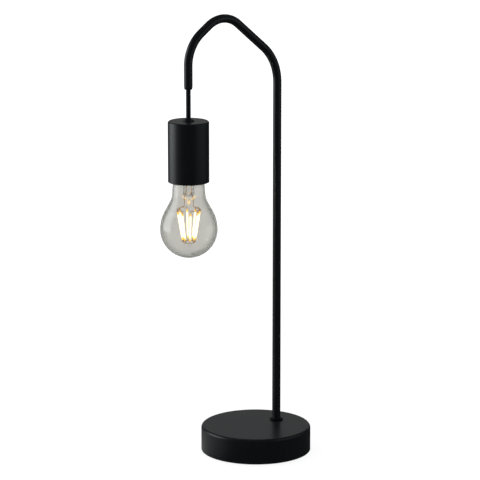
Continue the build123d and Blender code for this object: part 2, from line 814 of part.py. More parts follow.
# Cap insulator: the black glass cone between the shell and the eyelet
with BuildPart() as cap_insulator:
    insulator_foot = cone_bottom + cap_cone_length
    with BuildSketch(pendant_section(insulator_foot)):
        with BuildLine():
            Polyline(
                (cap_cone_diameter / 2 - cap_wall - seat_gap, -recess_depth),
                (cap_cone_diameter / 2 - cap_wall - seat_gap, 0),
                (eyelet_diameter / 2 + eyelet_margin, insulator_length),
                (shank_radius, insulator_length),
                (shank_radius, -recess_depth),
                close=True,
            )
        make_face()
    revolve(axis=pendant_axis)
cap_insulator.part.label = "cap_insulator"
export_step(cap_insulator.part, "parts/cap_insulator.step")

# Cap eyelet: the domed contact at the cap's end, with its shank through the insulator
with BuildPart() as cap_eyelet:
    with BuildSketch(pendant_section(lamp_top - eyelet_height)):
        with BuildLine():
            Polyline((0, eyelet_height), (eyelet_flat_radius, eyelet_height))
            ThreePointArc(
                (eyelet_flat_radius, eyelet_height),
                (eyelet_diameter * 0.38, eyelet_height * 0.72),
                (eyelet_diameter / 2, 0),
            )
            Polyline(
                (eyelet_diameter / 2, 0),
                (shank_radius - seat_gap, 0),
                (shank_radius - seat_gap, -insulator_length - recess_depth),
                (0, -insulator_length - recess_depth),
                (0, eyelet_height),
            )
        make_face()
    revolve(axis=pendant_axis)
cap_eyelet.part.label = "cap_eyelet"
export_step(cap_eyelet.part, "parts/cap_eyelet.step")

# Stem: the glass tube that flares to the throat, is pinched, and ends in a beaded rod
stem_radius = stem_diameter / 2
flare_radius = throat_radius - glass_wall - cement_gap
pinch_top = stem_end_height + stem_pinch_length
pinch_corner_radius = stem_pinch_thickness * 0.45
with BuildPart() as stem:
    with BuildSketch(pendant_section(globe_height)):
        with BuildLine():
            Polyline(
                (stem_radius - stem_wall, pinch_top),
                (stem_radius, pinch_top),
                (stem_radius, throat_height),
                (flare_radius, throat_end - flare_wall),
                (flare_radius, throat_end),
                (flare_radius - flare_wall, throat_end),
                (stem_radius - stem_wall, throat_height + flare_wall),
                close=True,
            )
        make_face()
    revolve(axis=pendant_axis)
    with BuildSketch(pendant_plane(globe_height + pinch_top)):
        Circle(stem_radius)
    with BuildSketch(lamp_plane(globe_height + stem_end_height + stem_pinch_taper_length)):
        RectangleRounded(stem_pinch_width, stem_pinch_thickness, pinch_corner_radius)
    loft()
    with BuildSketch(lamp_plane(globe_height + stem_end_height + stem_pinch_taper_length)):
        RectangleRounded(stem_pinch_width, stem_pinch_thickness, pinch_corner_radius)
    with BuildSketch(lamp_plane(globe_height + stem_end_height)):
        RectangleRounded(stem_diameter, stem_pinch_thickness, pinch_corner_radius)
    loft()
    with BuildSketch(pendant_plane(globe_height + stem_end_height)):
        Circle(stem_rod_diameter / 2)
    extrude(amount=-stem_rod_length)
    with Locations(
        (-pendant_offset, 0, globe_height + stem_end_height - stem_rod_length)
    ):
        Sphere(stem_bead_diameter / 2)
stem.part.label = "stem"
export_step(stem.part, "parts/stem.step")

# Filaments: coated rods that lean in towards the globe's foot
with BuildPart() as filaments:
    filament_rise = filament_top_height - filament_foot_height
    filament_lean = filament_top_radius - filament_foot_radius
    filament_axis = Vector(filament_lean, 0, filament_rise).normalized()
    foot_centre = Vector(filament_foot_radius, 0, filament_foot_height)
    slant = sqrt(filament_rise**2 + filament_lean**2)
    filament_length = slant - 2 * tab_length
    filament_start = foot_centre + filament_axis * tab_length
    with Locations(lamp_plane(globe_height)):
        with PolarLocations(0, filament_count, start_angle=180 / filament_count):
            with Locations(Plane(filament_start, z_dir=filament_axis)):
                Cylinder(
                    filament_diameter / 2,
                    filament_length,
                    align=(Align.CENTER, Align.CENTER, Align.MIN),
                )
filaments.part.label = "filaments"
export_step(filaments.part, "parts/filaments.step")

# Filament tabs: the flat metal ends of each rod
with BuildPart() as filament_tabs:
    tab_start = foot_centre + filament_axis * (slant - tab_length)
    with Locations(lamp_plane(globe_height)):
        with PolarLocations(0, filament_count, start_angle=180 / filament_count):
            for start in (foot_centre, tab_start):
                with Locations(Plane(start, x_dir=(0, 1, 0), z_dir=filament_axis)):
                    Box(
                        tab_width,
                        tab_thickness,
                        tab_length,
                        align=(Align.CENTER, Align.CENTER, Align.MIN),
                    )
filament_tabs.part.label = "filament_tabs"
export_step(filament_tabs.part, "parts/filament_tabs.step")

# Foot ring: the wire that joins the filaments' lower ends
wire_radius = support_wire_diameter / 2
with BuildPart() as foot_ring:
    ring_drop = filament_foot_height - wire_radius
    with Locations((-pendant_offset, 0, globe_height + ring_drop)):
        Torus(filament_foot_radius, wire_radius)
foot_ring.part.label = "foot_ring"
export_step(foot_ring.part, "parts/foot_ring.step")

# Support wires: each lead comes down the stem, out of the pinch, and arcs over half the filaments
with BuildPart() as support_wires:
    arc_height = globe_height + filament_top_height + wire_radius
    half_arc = 180 - 360 / filament_count
    pinch_height = globe_height + stem_end_height
    for side in (0, 180):
        with BuildLine(lamp_plane(arc_height)) as arc_route:
            CenterArc((0, 0), filament_top_radius, side - half_arc / 2, half_arc)
        with BuildSketch(Plane(arc_route.wires()[0] ^ 0)):
            Circle(wire_radius)
        sweep(path=arc_route.wires()[0])
        direction = 1 if side == 0 else -1
        with BuildLine(lamp_section(0)) as lead_wire:
            FilletPolyline(
                (direction * lead_wire_spacing / 2, pinch_height),
                (direction * lead_wire_spacing / 2, globe_height + lead_wire_bend_height),
                (direction * filament_top_radius, arc_height),
                radius=lead_wire_bend_radius,
            )
        with BuildSketch(lamp_plane(pinch_height)):
            with Locations((direction * lead_wire_spacing / 2, 0)):
                Circle(wire_radius)
        sweep(path=lead_wire.wires()[0])
        with BuildSketch(lamp_plane(globe_height + pinch_top)):
            with Locations((direction * inner_lead_spacing / 2, 0)):
                Circle(wire_radius)
        extrude(amount=throat_end - pinch_top)
support_wires.part.label = "support_wires"
export_step(support_wires.part, "parts/support_wires.step")

# Lamp driver: the round circuit board that stands on the stem's flare, inside the cap
with BuildPart() as lamp_driver:
    board_height = globe_height + throat_end
    with BuildSketch(pendant_plane(board_height)):
        Circle(flare_radius)
    extrude(amount=board_thickness)
    with BuildSketch(lamp_plane(board_height + board_thickness)):
        with Locations((flare_radius * 0.32, 0)):
            Circle(flare_radius * 0.29)
        with Locations((-flare_radius * 0.45, 0)):
            Rectangle(flare_radius * 0.45, flare_radius * 0.55)
    extrude(amount=board_part_height)
lamp_driver.part.label = "lamp_driver"
export_step(lamp_driver.part, "parts/lamp_driver.step")
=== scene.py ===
"""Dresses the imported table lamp: a weighted base, a crook of tube, and a hung lampholder.

The file is laid out as an add-on and run as a script. Lengths are in metres.
"""

import json
from math import asin, atan2, cos, pi, radians, sin, tan

import bmesh
import bpy
from mathutils import Matrix, Vector


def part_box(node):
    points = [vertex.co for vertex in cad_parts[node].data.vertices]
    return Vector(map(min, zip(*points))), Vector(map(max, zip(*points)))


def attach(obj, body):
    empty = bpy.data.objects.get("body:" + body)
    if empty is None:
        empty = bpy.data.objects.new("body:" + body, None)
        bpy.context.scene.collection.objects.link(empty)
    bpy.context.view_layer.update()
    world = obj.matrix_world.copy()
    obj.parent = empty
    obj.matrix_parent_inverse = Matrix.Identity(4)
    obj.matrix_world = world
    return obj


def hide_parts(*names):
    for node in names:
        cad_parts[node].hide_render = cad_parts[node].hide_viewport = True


bl_info = {
    "name": "Crook Table Lamp",
    "version": (1, 0, 0),
    "blender": (4, 5, 0),
    "location": "View3D > Sidebar > Lamp",
    "description": "Builds the looks of a table lamp with a hung lampholder",
    "category": "Object",
}

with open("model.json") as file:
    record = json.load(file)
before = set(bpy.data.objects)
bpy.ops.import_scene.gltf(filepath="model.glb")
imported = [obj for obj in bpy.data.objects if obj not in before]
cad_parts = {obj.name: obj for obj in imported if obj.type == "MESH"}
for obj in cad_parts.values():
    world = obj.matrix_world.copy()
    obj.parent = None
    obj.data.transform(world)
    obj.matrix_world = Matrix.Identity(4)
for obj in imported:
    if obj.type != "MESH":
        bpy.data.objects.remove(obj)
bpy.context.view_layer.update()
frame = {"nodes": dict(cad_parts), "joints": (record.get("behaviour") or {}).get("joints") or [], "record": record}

MM = 0.001
FULL_TURN = 2 * pi


def middle(node):
    """The middle of a node's box, in plan, at height 0."""
    low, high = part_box(node)
    return Vector(((low.x + high.x) / 2, (low.y + high.y) / 2, 0))


def half_width(node):
    """Half of a node's width along Y."""
    low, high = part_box(node)
    return (high.y - low.y) / 2


def foot_and_top(node):
    """The heights between which a node stands."""
    low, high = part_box(node)
    return low.z, high.z


# Places that the frame gives
JOINTS = {joint["name"]: joint for joint in frame["joints"]}
MOUTH = Vector(JOINTS["pendant_swing"]["pos_m"])
PENDANT = Vector((MOUTH.x, MOUTH.y, 0))
UPRIGHT = middle("foot_collar")
GLASS_FOOT, GLASS_TOP = foot_and_top("lamp_envelope")
GLOBE_RADIUS = half_width("lamp_envelope")
GLOBE = PENDANT + Vector((0, 0, GLASS_FOOT + GLOBE_RADIUS))
AT_ORIGIN = Matrix.Identity(4)
AT_PENDANT = Matrix.Translation(PENDANT)
AT_GLOBE = Matrix.Translation(GLOBE)

# The glass throat, in heights above the globe's centre
THROAT_FOOT = 51.5 * MM
THROAT_TOP = GLASS_TOP - GLOBE.z

# The pinch and the lead wires lie in one plane, turned by this angle from the XZ plane
LEAD_ANGLE = radians(-51)

# Radius of the holes that the cords pass through
CORD_BORE = 3.1 * MM

# Sides of a wire's round section
WIRE_SIDES = 14


# Settings


class LampSizes(bpy.types.PropertyGroup):
    """Sizes of the lamp's visible pieces."""

    shell_wall: bpy.props.FloatProperty(
        name="Base wall", description="Thickness of the pressed base", default=1.2 * MM, unit="LENGTH"
    )
    base_edge: bpy.props.FloatProperty(
        name="Base edge", description="Radius of the base's top edge", default=3.0 * MM, unit="LENGTH"
    )
    tube_wall: bpy.props.FloatProperty(
        name="Tube wall", description="Thickness of the bent tube", default=1.0 * MM, unit="LENGTH"
    )
    tube_diameter: bpy.props.FloatProperty(
        name="Tube", description="Outer diameter of the bent tube", default=9.0 * MM, unit="LENGTH"
    )
    shoulder_bend: bpy.props.FloatProperty(
        name="Shoulder bend", description="Radius of the tube's first bend", default=50 * MM, unit="LENGTH"
    )
    crown_bend: bpy.props.FloatProperty(
        name="Crown bend", description="Radius of the bend at the top", default=32 * MM, unit="LENGTH"
    )
    drop_bend: bpy.props.FloatProperty(
        name="Drop bend", description="Radius of the last bend", default=40 * MM, unit="LENGTH"
    )
    cord_diameter: bpy.props.FloatProperty(
        name="Cord", description="Diameter of the cord's sheath", default=5.0 * MM, unit="LENGTH"
    )
    cup_wall: bpy.props.FloatProperty(
        name="Cup wall", description="Thickness of the lampholder's cup", default=1.0 * MM, unit="LENGTH"
    )
    cup_edge: bpy.props.FloatProperty(
        name="Cup edge", description="Radius of the cup's top edge", default=1.7 * MM, unit="LENGTH"
    )
    glass_wall: bpy.props.FloatProperty(
        name="Glass wall", description="Thickness of the blown glass", default=0.9 * MM, unit="LENGTH"
    )
    filament_diameter: bpy.props.FloatProperty(
        name="Filament", description="Diameter of each lit rod", default=1.8 * MM, unit="LENGTH"
    )
    wire_diameter: bpy.props.FloatProperty(
        name="Lead wire", description="Diameter of the wires in the glass", default=0.75 * MM, unit="LENGTH"
    )
    thread_pitch: bpy.props.FloatProperty(
        name="Thread pitch", description="Rise of the thread in a turn", default=3.629 * MM, unit="LENGTH"
    )
    thread_depth: bpy.props.FloatProperty(
        name="Thread depth", description="Depth of the rounded thread", default=1.0 * MM, unit="LENGTH"
    )


class LampFinish(bpy.types.PropertyGroup):
    """Colours and sheen of the lamp's finishes."""

    lacquer: bpy.props.FloatVectorProperty(
        name="Lacquer",
        description="Colour of the black lacquer",
        subtype="COLOR",
        default=(0.0055, 0.0078, 0.0088),
    )
    lacquer_roughness: bpy.props.FloatProperty(
        name="Lacquer roughness", description="0 is glossy and 1 is matt", subtype="FACTOR", default=0.30
    )
    moulding: bpy.props.FloatVectorProperty(
        name="Moulding",
        description="Colour of the black plastic",
        subtype="COLOR",
        default=(0.0048, 0.0066, 0.0077),
    )
    glass_tint: bpy.props.FloatVectorProperty(
        name="Glass", description="Tint of the lamp's glass", subtype="COLOR", default=(0.654, 0.646, 0.62)
    )
    glass_rim: bpy.props.FloatVectorProperty(
        name="Glass rim",
        description="Tint of the glass where it is seen edge on",
        subtype="COLOR",
        default=(0.37, 0.385, 0.355),
    )
    glow: bpy.props.FloatVectorProperty(
        name="Glow", description="Colour of the lit rods", subtype="COLOR", default=(1.0, 0.85, 0.6)
    )
    glow_strength: bpy.props.FloatProperty(
        name="Glow strength", description="Brightness of the lit rods", default=3.0
    )
    coating: bpy.props.FloatVectorProperty(
        name="Coating", description="Colour of the rods' ends", subtype="COLOR", default=(1.0, 0.52, 0.03)
    )


class LampStage(bpy.types.PropertyGroup):
    """The camera, the floor and the lights."""

    focal_length: bpy.props.FloatProperty(
        name="Focal length", description="In millimetres, on a 36 mm sensor", default=200.66
    )
    distance: bpy.props.FloatProperty(
        name="Distance", description="From the camera to the lamp", default=2.85, unit="LENGTH"
    )
    azimuth: bpy.props.FloatProperty(
        name="Azimuth",
        description="Round the lamp, from straight in front",
        default=radians(-38.5),
        unit="ROTATION",
    )
    elevation: bpy.props.FloatProperty(
        name="Elevation", description="Above the horizon", default=radians(12.757), unit="ROTATION"
    )
    key_light: bpy.props.FloatProperty(
        name="Key light", description="Brightness of the large softbox on the left", default=1.97
    )
    fill_light: bpy.props.FloatProperty(
        name="Fill light", description="Brightness of the dimmer softbox on the right", default=0.27
    )
    top_light: bpy.props.FloatProperty(
        name="Top light", description="Brightness of the softbox overhead", default=0.6
    )
    surround: bpy.props.FloatProperty(
        name="Surround", description="Brightness of the far wall that the lacquer mirrors", default=0.205
    )
    darkness: bpy.props.FloatProperty(
        name="Darkness", description="Brightness of the rest of the mirrored room", default=0.012
    )


# Building node trees


def feed(tree, sockets, values):
    """Gives sockets, by name or number, another node's output or a plain value."""
    for key, value in values.items():
        if isinstance(value, bpy.types.NodeSocket):
            tree.links.new(value, sockets[key])
        else:
            sockets[key].default_value = value


def new_node(tree, kind, label, inputs=None, **attributes):
    """A labelled node with these attributes and inputs."""
    node = tree.nodes.new(kind)
    node.label = label
    for name, value in attributes.items():
        setattr(node, name, value)
    feed(tree, node.inputs, inputs or {})
    return node


def maths(tree, operation, label, *inputs):
    """The number that a Math node works out."""
    node = new_node(tree, "ShaderNodeMath", label, dict(enumerate(inputs)), operation=operation)
    return node.outputs["Value"]


def vector_maths(tree, operation, label, *inputs, result="Vector"):
    """The vector, or the number, that a Vector Math node works out."""
    node = new_node(tree, "ShaderNodeVectorMath", label, dict(enumerate(inputs)), operation=operation)
    return node.outputs[result]


def split(tree, vector, label):
    """A vector's parts, by the names X, Y and Z."""
    return new_node(tree, "ShaderNodeSeparateXYZ", label, {"Vector": vector}).outputs


def mapped(tree, value, reach, levels, label, interpolation="SMOOTHSTEP"):
    """Maps a value's reach, from and to, onto two levels."""
    inputs = {
        "Value": value,
        "From Min": reach[0],
        "From Max": reach[1],
        "To Min": levels[0],
        "To Max": levels[1],
    }
    node = new_node(tree, "ShaderNodeMapRange", label, inputs, interpolation_type=interpolation)
    return node.outputs["Result"]


def mixed(tree, share, first, second, label, kind="Float"):
    """A mix of two numbers or, of the kind Color, of two colours."""
    data_type = "FLOAT" if kind == "Float" else "RGBA"
    node = new_node(tree, "ShaderNodeMix", label, data_type=data_type)
    sockets = {socket.identifier: socket for socket in (*node.inputs, *node.outputs)}
    feed(tree, sockets, {"Factor_Float": share, f"A_{kind}": first, f"B_{kind}": second})
    return sockets[f"Result_{kind}"]


def colour_ramp(tree, value, stops, label):
    """A ramp through stops, each of them a position and a colour."""
    node = new_node(tree, "ShaderNodeValToRGB", label, {"Fac": value})
    marks = node.color_ramp.elements
    for number, (position, colour) in enumerate(stops):
        mark = marks[number] if number < 2 else marks.new(position)
        mark.position, mark.color = position, (*colour, 1)
    return node.outputs["Color"]


# Patterns and finishes

FINISHES = {}


def object_space(tree, stretch=(1, 1, 1)):
    """The vector that every pattern reads: object coordinates, in metres."""
    inputs = {
        "Vector": new_node(tree, "ShaderNodeTexCoord", "Object space").outputs["Object"],
        "Scale": stretch,
    }
    return new_node(tree, "ShaderNodeMapping", "Grain direction", inputs).outputs["Vector"]


def noise(tree, vector, scale, detail, label):
    """A noise pattern with this many features to the metre."""
    inputs = {"Vector": vector, "Scale": scale, "Detail": detail}
    return new_node(tree, "ShaderNodeTexNoise", label, inputs).outputs["Fac"]


def uneven_sheen(tree, pattern, roughness):
    """A roughness that follows a pattern's middle range from low to high."""
    return mapped(tree, pattern, (0.3, 0.7), roughness, "Uneven sheen", "LINEAR")


def blend_colours(tree, pattern, first, second, label="Colour variation"):
    """A colour that follows a pattern's middle range from one to the other."""
    return colour_ramp(tree, pattern, ((0.32, first), (0.68, second)), label)


def relief(tree, pattern, strength, height, label):
    """The normal of a surface that a pattern raises."""
    inputs = {"Height": pattern, "Strength": strength, "Distance": height}
    return new_node(tree, "ShaderNodeBump", label, inputs).outputs["Normal"]


def new_finish(name):
    """Adds a material to the finishes, and returns its node tree and its shader's inputs."""
    material = bpy.data.materials.new(name)
    material.use_nodes = True
    FINISHES[name] = material
    return material.node_tree, material.node_tree.nodes["Principled BSDF"].inputs


def finish(name, colour, variation, mottle, grain, raised, roughness, stretch=(1, 1, 1), **constants):
    """A procedural finish: mottled colour, uneven roughness and a fine grain in relief.

    The mottle and the grain are features to the metre. The grain is raised in millimetres.
    """
    tree, shader = new_finish(name)
    vector = object_space(tree, stretch)
    broad = noise(tree, vector, mottle, 4.0, "Broad mottle")
    fine = noise(tree, vector, grain, 2.0, "Fine grain")
    darker = [channel * (1 - variation) for channel in colour]
    lighter = [min(1.0, channel * (1 + variation)) for channel in colour]
    looks = {
        "Base Color": blend_colours(tree, broad, darker, lighter),
        "Roughness": uneven_sheen(tree, fine, roughness),
        "Normal": relief(tree, fine, 0.5, raised * MM, "Surface relief"),
    }
    looks |= {socket.replace("_", " "): value for socket, value in constants.items()}
    feed(tree, shader, looks)


def paint_pinch_glints(tree, shader, colour, height, reach):
    """Painted gold glints: emission in the stem glass that stands in for the rods' light reflected in the bead,
    and higher up in the pinch's two corners.
    """
    pinch = (cos(LEAD_ANGLE), sin(LEAD_ANGLE), 0)
    rise = 0.85
    vector = object_space(tree)
    centred = vector_maths(tree, "SUBTRACT", "From the globe's centre", vector, GLOBE)
    along = vector_maths(tree, "DOT_PRODUCT", "Along the pinch", centred, pinch, result="Value")
    out = maths(tree, "ABSOLUTE", "Distance out", along)
    band = maths(tree, "MULTIPLY_ADD", "Higher further out", out, rise, height)
    up = split(tree, centred, "Height")["Z"]
    away = maths(tree, "SUBTRACT", "From the band's middle", up, band)
    distance = maths(tree, "ABSOLUTE", "Above or below", away)
    near = mapped(tree, distance, (reach / 2, reach), (1, 0), "In the band")
    # Painted glints: a noise pattern, kept to the band, that glows gold as if it reflected the rods
    painted_glints = noise(tree, vector, 900, 1.0, "Sparks")
    painted_glints_in_band = maths(tree, "MULTIPLY", "Sparks in the pinch", near, painted_glints)
    looks = {
        "Emission Color": colour_ramp(tree, painted_glints_in_band, ((0.4, (0, 0, 0)), (0.54, colour)), "Spark colour"),
        "Emission Strength": 0.55,
    }
    feed(tree, shader, looks)


def glass_finish(name, tint, rim, index, painted_glints=None):
    """Clear blown glass with a faint ripple, an uneven tint and a darker rim, and painted glints where they are
    given.
    """
    tree, shader = new_finish(name)
    vector = object_space(tree, (1, 1, 0.4))
    ripple = noise(tree, vector, 70, 1.0, "Blown ripple")
    thinner = [min(1.0, channel * 1.02) for channel in tint]
    uneven = blend_colours(tree, ripple, tint, thinner, "Uneven tint")
    edge_on = new_node(tree, "ShaderNodeLayerWeight", "Seen edge on", {"Blend": 0.5})
    steep = mapped(tree, edge_on.outputs["Facing"], (0.3, 0.75), (0, 1), "Rim only")
    looks = {
        "Base Color": mixed(tree, steep, uneven, (*rim, 1), "Tint towards the rim", "Color"),
        "Normal": relief(tree, ripple, 0.25, 0.02 * MM, "Ripple relief"),
        "Transmission Weight": 1.0,
        "Roughness": 0.0,
        "IOR": index,
    }
    feed(tree, shader, looks)
    # Painted gold glints that glow in the glass as if they reflected the rods' light
    if painted_glints:
        paint_pinch_glints(tree, shader, *painted_glints)


def filament_finish(name, settings, low, high):
    """The phosphor coating: white-hot along the rod, and amber at its two ends."""
    tree, shader = new_finish(name)
    vector = object_space(tree)
    up = split(tree, vector, "Height")["Z"]
    along = mapped(tree, up, (low, high), (0, 1), "Along the rod", "LINEAR")
    amber = [1.4 * channel / settings.glow_strength for channel in settings.coating]
    hot = settings.glow
    speckle = noise(tree, vector, 2200, 2.0, "Coating speckle")
    looks = {
        "Emission Color": colour_ramp(
            tree, along, ((0.05, amber), (0.12, hot), (0.88, hot), (0.95, amber)), "Amber ends"
        ),
        "Emission Strength": settings.glow_strength,
        "Base Color": blend_colours(tree, speckle, (0.85, 0.45, 0.04), (0.95, 0.6, 0.1), "Phosphor"),
        "Roughness": uneven_sheen(tree, speckle, (0.55, 0.75)),
    }
    feed(tree, shader, looks)


def make_finishes(settings):
    """Makes the finishes, each under its slot's name, and two that only the looks need: a darker lacquer that
    paints shade, and stem glass with painted glints.
    """
    satin = (settings.lacquer_roughness - 0.03, settings.lacquer_roughness + 0.03)
    dull = {"Specular_IOR_Level": 0.12}
    soft_sheen = {"Specular_IOR_Level": 0.4}
    metal = {"Metallic": 1.0}

    # Name, colour, its variation, mottle, grain, relief, and roughness from and to
    finish("black_lacquer", settings.lacquer, 0.1, 30, 1500, 0.015, satin)
    # A darker, duller copy of the black lacquer: painted shade for the dark ring round the tube's foot
    finish("dull_lacquer", (0.002, 0.003, 0.0034), 0.1, 30, 1500, 0.015, (0.45, 0.55), **dull)
    finish("black_plastic", settings.moulding, 0.12, 70, 2400, 0.02, (0.26, 0.36))
    drawn_out = (1, 1, 0.08)
    sheath = (0.0032, 0.0045, 0.0056)
    finish("cord_sheath", sheath, 0.2, 90, 1800, 0.015, (0.34, 0.5), drawn_out, **soft_sheen)
    finish("cast_iron", (0.12, 0.118, 0.115), 0.3, 140, 620, 0.25, (0.55, 0.8), Metallic=0.7)
    finish("zinc_steel", (0.58, 0.59, 0.56), 0.12, 260, 1600, 0.01, (0.22, 0.4), **metal)
    finish("pad_rubber", (0.018, 0.018, 0.019), 0.25, 900, 2600, 0.12, (0.75, 0.95))
    white = (0.7, 0.69, 0.64)
    finish("white_plastic", white, 0.05, 120, 1800, 0.01, (0.3, 0.45), Subsurface_Weight=0.2)
    finish("core_insulation", (0.19, 0.075, 0.028), 0.15, 150, 1500, 0.01, (0.32, 0.48))
    finish("brass", (0.78, 0.56, 0.26), 0.12, 220, 1700, 0.008, (0.2, 0.36), (1, 1, 0.2), **metal)
    finish("ceramic", (0.8, 0.77, 0.7), 0.05, 90, 900, 0.02, (0.12, 0.22), Coat_Weight=0.6)
    finish("nickel_cap", (0.66, 0.64, 0.6), 0.1, 300, 1900, 0.006, (0.16, 0.32), **metal)
    finish("cap_glass", (0.01, 0.01, 0.014), 0.2, 150, 700, 0.03, (0.06, 0.16))
    finish("solder", (0.5, 0.5, 0.52), 0.15, 700, 1500, 0.05, (0.3, 0.55), **metal)
    finish("circuit_board", (0.03, 0.12, 0.05), 0.25, 500, 1500, 0.02, (0.3, 0.5))
    finish("filament_metal", (0.62, 0.43, 0.26), 0.18, 600, 2500, 0.006, (0.25, 0.45), **metal)

    glass_finish("clear_glass", settings.glass_tint, settings.glass_rim, 1.47)
    # Painted gold glints in the stem glass: their colour, the height of their band and its reach
    painted_glint_gold, height, reach = (1.0, 0.54, 0.0), 27.3 * MM, 5.5 * MM
    glass_finish("stem_glass", (0.93, 0.93, 0.92), (0.2, 0.21, 0.2), 1.3, (painted_glint_gold, height, reach))


def dress_node(node, slot):
    """Gives a node that stays its procedural finish."""
    materials = frame["nodes"][node].data.materials
    materials.clear()
    materials.append(FINISHES[slot])


# Making pieces


def verts_of(geom):
    """The vertices of a mixed list."""
    return [item for item in geom if isinstance(item, bmesh.types.BMVert)]


def spin(bm, geom, angle, steps, centre=(0, 0, 0), axis=(0, 0, 1), offset=(0, 0, 0), **options):
    """Extrudes or repeats a form round an axis, and returns the last step's form."""
    made = bmesh.ops.spin(
        bm, geom=geom, cent=centre, axis=axis, dvec=offset, angle=angle, steps=steps, **options
    )
    return made["geom_last"]


def run(bm, end, offset):
    """Extrudes an end, a vertex or a ring, straight by this offset, and returns the new end."""
    return spin(bm, end, 0, 1, offset=offset)


def bend(bm, end, centre, axis, angle, degrees_a_step):
    """Extrudes an end round a centre, and returns the new end."""
    steps = max(2, round(abs(angle) / radians(degrees_a_step)))
    return spin(bm, end, angle, steps, centre, axis)


def follow(bm, end, corners, radii, degrees_a_step):
    """Extrudes an end along straight runs between corners, and round an arc at each."""
    corners = [Vector(corner) for corner in corners]
    here = corners[0]
    for index, radius in enumerate(radii, start=1):
        corner = corners[index]
        arriving = (corner - corners[index - 1]).normalized()
        leaving = (corners[index + 1] - corner).normalized()
        turn = arriving.angle(leaving)
        reach = radius * tan(turn / 2)
        end = run(bm, end, corner - arriving * reach - here)
        axis = arriving.cross(leaving).normalized()
        centre = corner - arriving * reach + axis.cross(arriving) * radius
        end = bend(bm, end, centre, axis, turn, degrees_a_step)
        here = corner + leaving * reach
    return run(bm, end, corners[-1] - here)


def place(bm, matrix, verts=None):
    """Moves the whole mesh, or only some of its vertices."""
    bmesh.ops.transform(bm, matrix=matrix, verts=verts or bm.verts)


def ring(bm, centre, radius, segments):
    """A level ring to extrude, as a list of its vertices and edges."""
    made = bmesh.ops.create_circle(
        bm, cap_ends=False, segments=segments, radius=radius, matrix=Matrix.Translation(centre)
    )
    verts = made["verts"]
    edges = {edge for vert in verts for edge in vert.link_edges}
    return verts + list(edges)


def wire_section(bm, centre, wire_radius):
    """A ring that stands in the XZ plane, to be spun round the Z axis into a hoop."""
    section = ring(bm, (0, 0, 0), wire_radius, WIRE_SIDES)
    place(bm, Matrix.Translation(centre) @ Matrix.Rotation(pi / 2, 4, "X"), verts_of(section))
    return section


def ease(bm, geom, radius, segments, affect):
    """Rounds corners or edges."""
    bmesh.ops.bevel(
        bm,
        geom=geom,
        offset=radius,
        offset_type="OFFSET",
        segments=segments,
        profile=0.5,
        affect=affect,
        material=-1,
    )


def draw_profile(bm, corners, closed=True, segments=6):
    """Draws a profile in the XZ plane. A corner is (radius, height) or has a rounding too."""
    verts = [bm.verts.new((corner[0], 0, corner[1])) for corner in corners]
    following = verts[1:] + verts[:1] if closed else verts[1:]
    for first, second in zip(verts, following):
        bm.edges.new((first, second))
    for vert, corner in zip(verts, corners):
        if len(corner) == 3:
            ease(bm, [vert], corner[2], segments, "VERTICES")


def lathe(bm, steps):
    """Spins the whole profile once round the Z axis into a closed skin."""
    spin(bm, bm.verts[:] + bm.edges[:], FULL_TURN, steps, use_merge=True)
    bmesh.ops.remove_doubles(bm, verts=bm.verts, dist=0.002 * MM)
    bmesh.ops.recalc_face_normals(bm, faces=bm.faces)


def turn_piece(corners, steps, closed=True, segments=6):
    """A new bmesh: the body that a profile makes when it is spun round the Z axis."""
    bm = bmesh.new()
    draw_profile(bm, corners, closed, segments)
    lathe(bm, steps)
    return bm


def close_ends(bm):
    """Closes the open rings of a swept skin."""
    open_edges = [edge for edge in bm.edges if edge.is_boundary]
    bmesh.ops.holes_fill(bm, edges=open_edges, sides=0)
    bmesh.ops.recalc_face_normals(bm, faces=bm.faces)


def repeat_round(bm, count):
    """Repeats the whole mesh evenly round the Z axis."""
    geom = bm.verts[:] + bm.edges[:] + bm.faces[:]
    spin(bm, geom, FULL_TURN * (count - 1) / count, count - 1, use_duplicate=True)


def evenly(low, high, rows):
    """Heights from low to high, with even rows between them."""
    return [low + (high - low) * row / rows for row in range(rows + 1)]


def press_thread(bm, low, high, sizes):
    """Presses a rounded right-hand thread into the walls between two heights."""
    pitch, depth = sizes.thread_pitch, sizes.thread_depth
    run_out = pitch * 0.6
    for vert in bm.verts:
        height = vert.co.z
        if low < height < high:
            share = min(1.0, (height - low) / run_out, (high - height) / run_out)
            angle = atan2(vert.co.y, vert.co.x)
            wave = 0.5 - 0.5 * cos(FULL_TURN * height / pitch - angle)
            scale = 1 - depth * wave * share / vert.co.xy.length
            vert.co.x *= scale
            vert.co.y *= scale


def new_object(name, bm):
    """An object in the scene with the bmesh's shape. It frees the bmesh."""
    mesh = bpy.data.meshes.new(name)
    bm.to_mesh(mesh)
    bm.free()
    made = bpy.data.objects.new(name, mesh)
    bpy.context.scene.collection.objects.link(made)
    return made


def make_piece(name, bm, body, slot, node, where=AT_ORIGIN, crease=34, look=None):
    """Turns a bmesh into a smooth-shaded piece that rides on its body and stands for a node."""
    place(bm, where)
    for face in bm.faces:
        face.smooth = True
    for edge in bm.edges:
        edge.smooth = edge.calc_face_angle(0) < radians(crease)
    piece = new_object(name, bm)
    piece.data.materials.append(FINISHES[look or slot])
    shading = piece.modifiers.new("Even shading", "WEIGHTED_NORMAL")
    shading.keep_sharp = True
    shading.weight = 80
    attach(piece, body)
    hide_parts(node)
    return piece


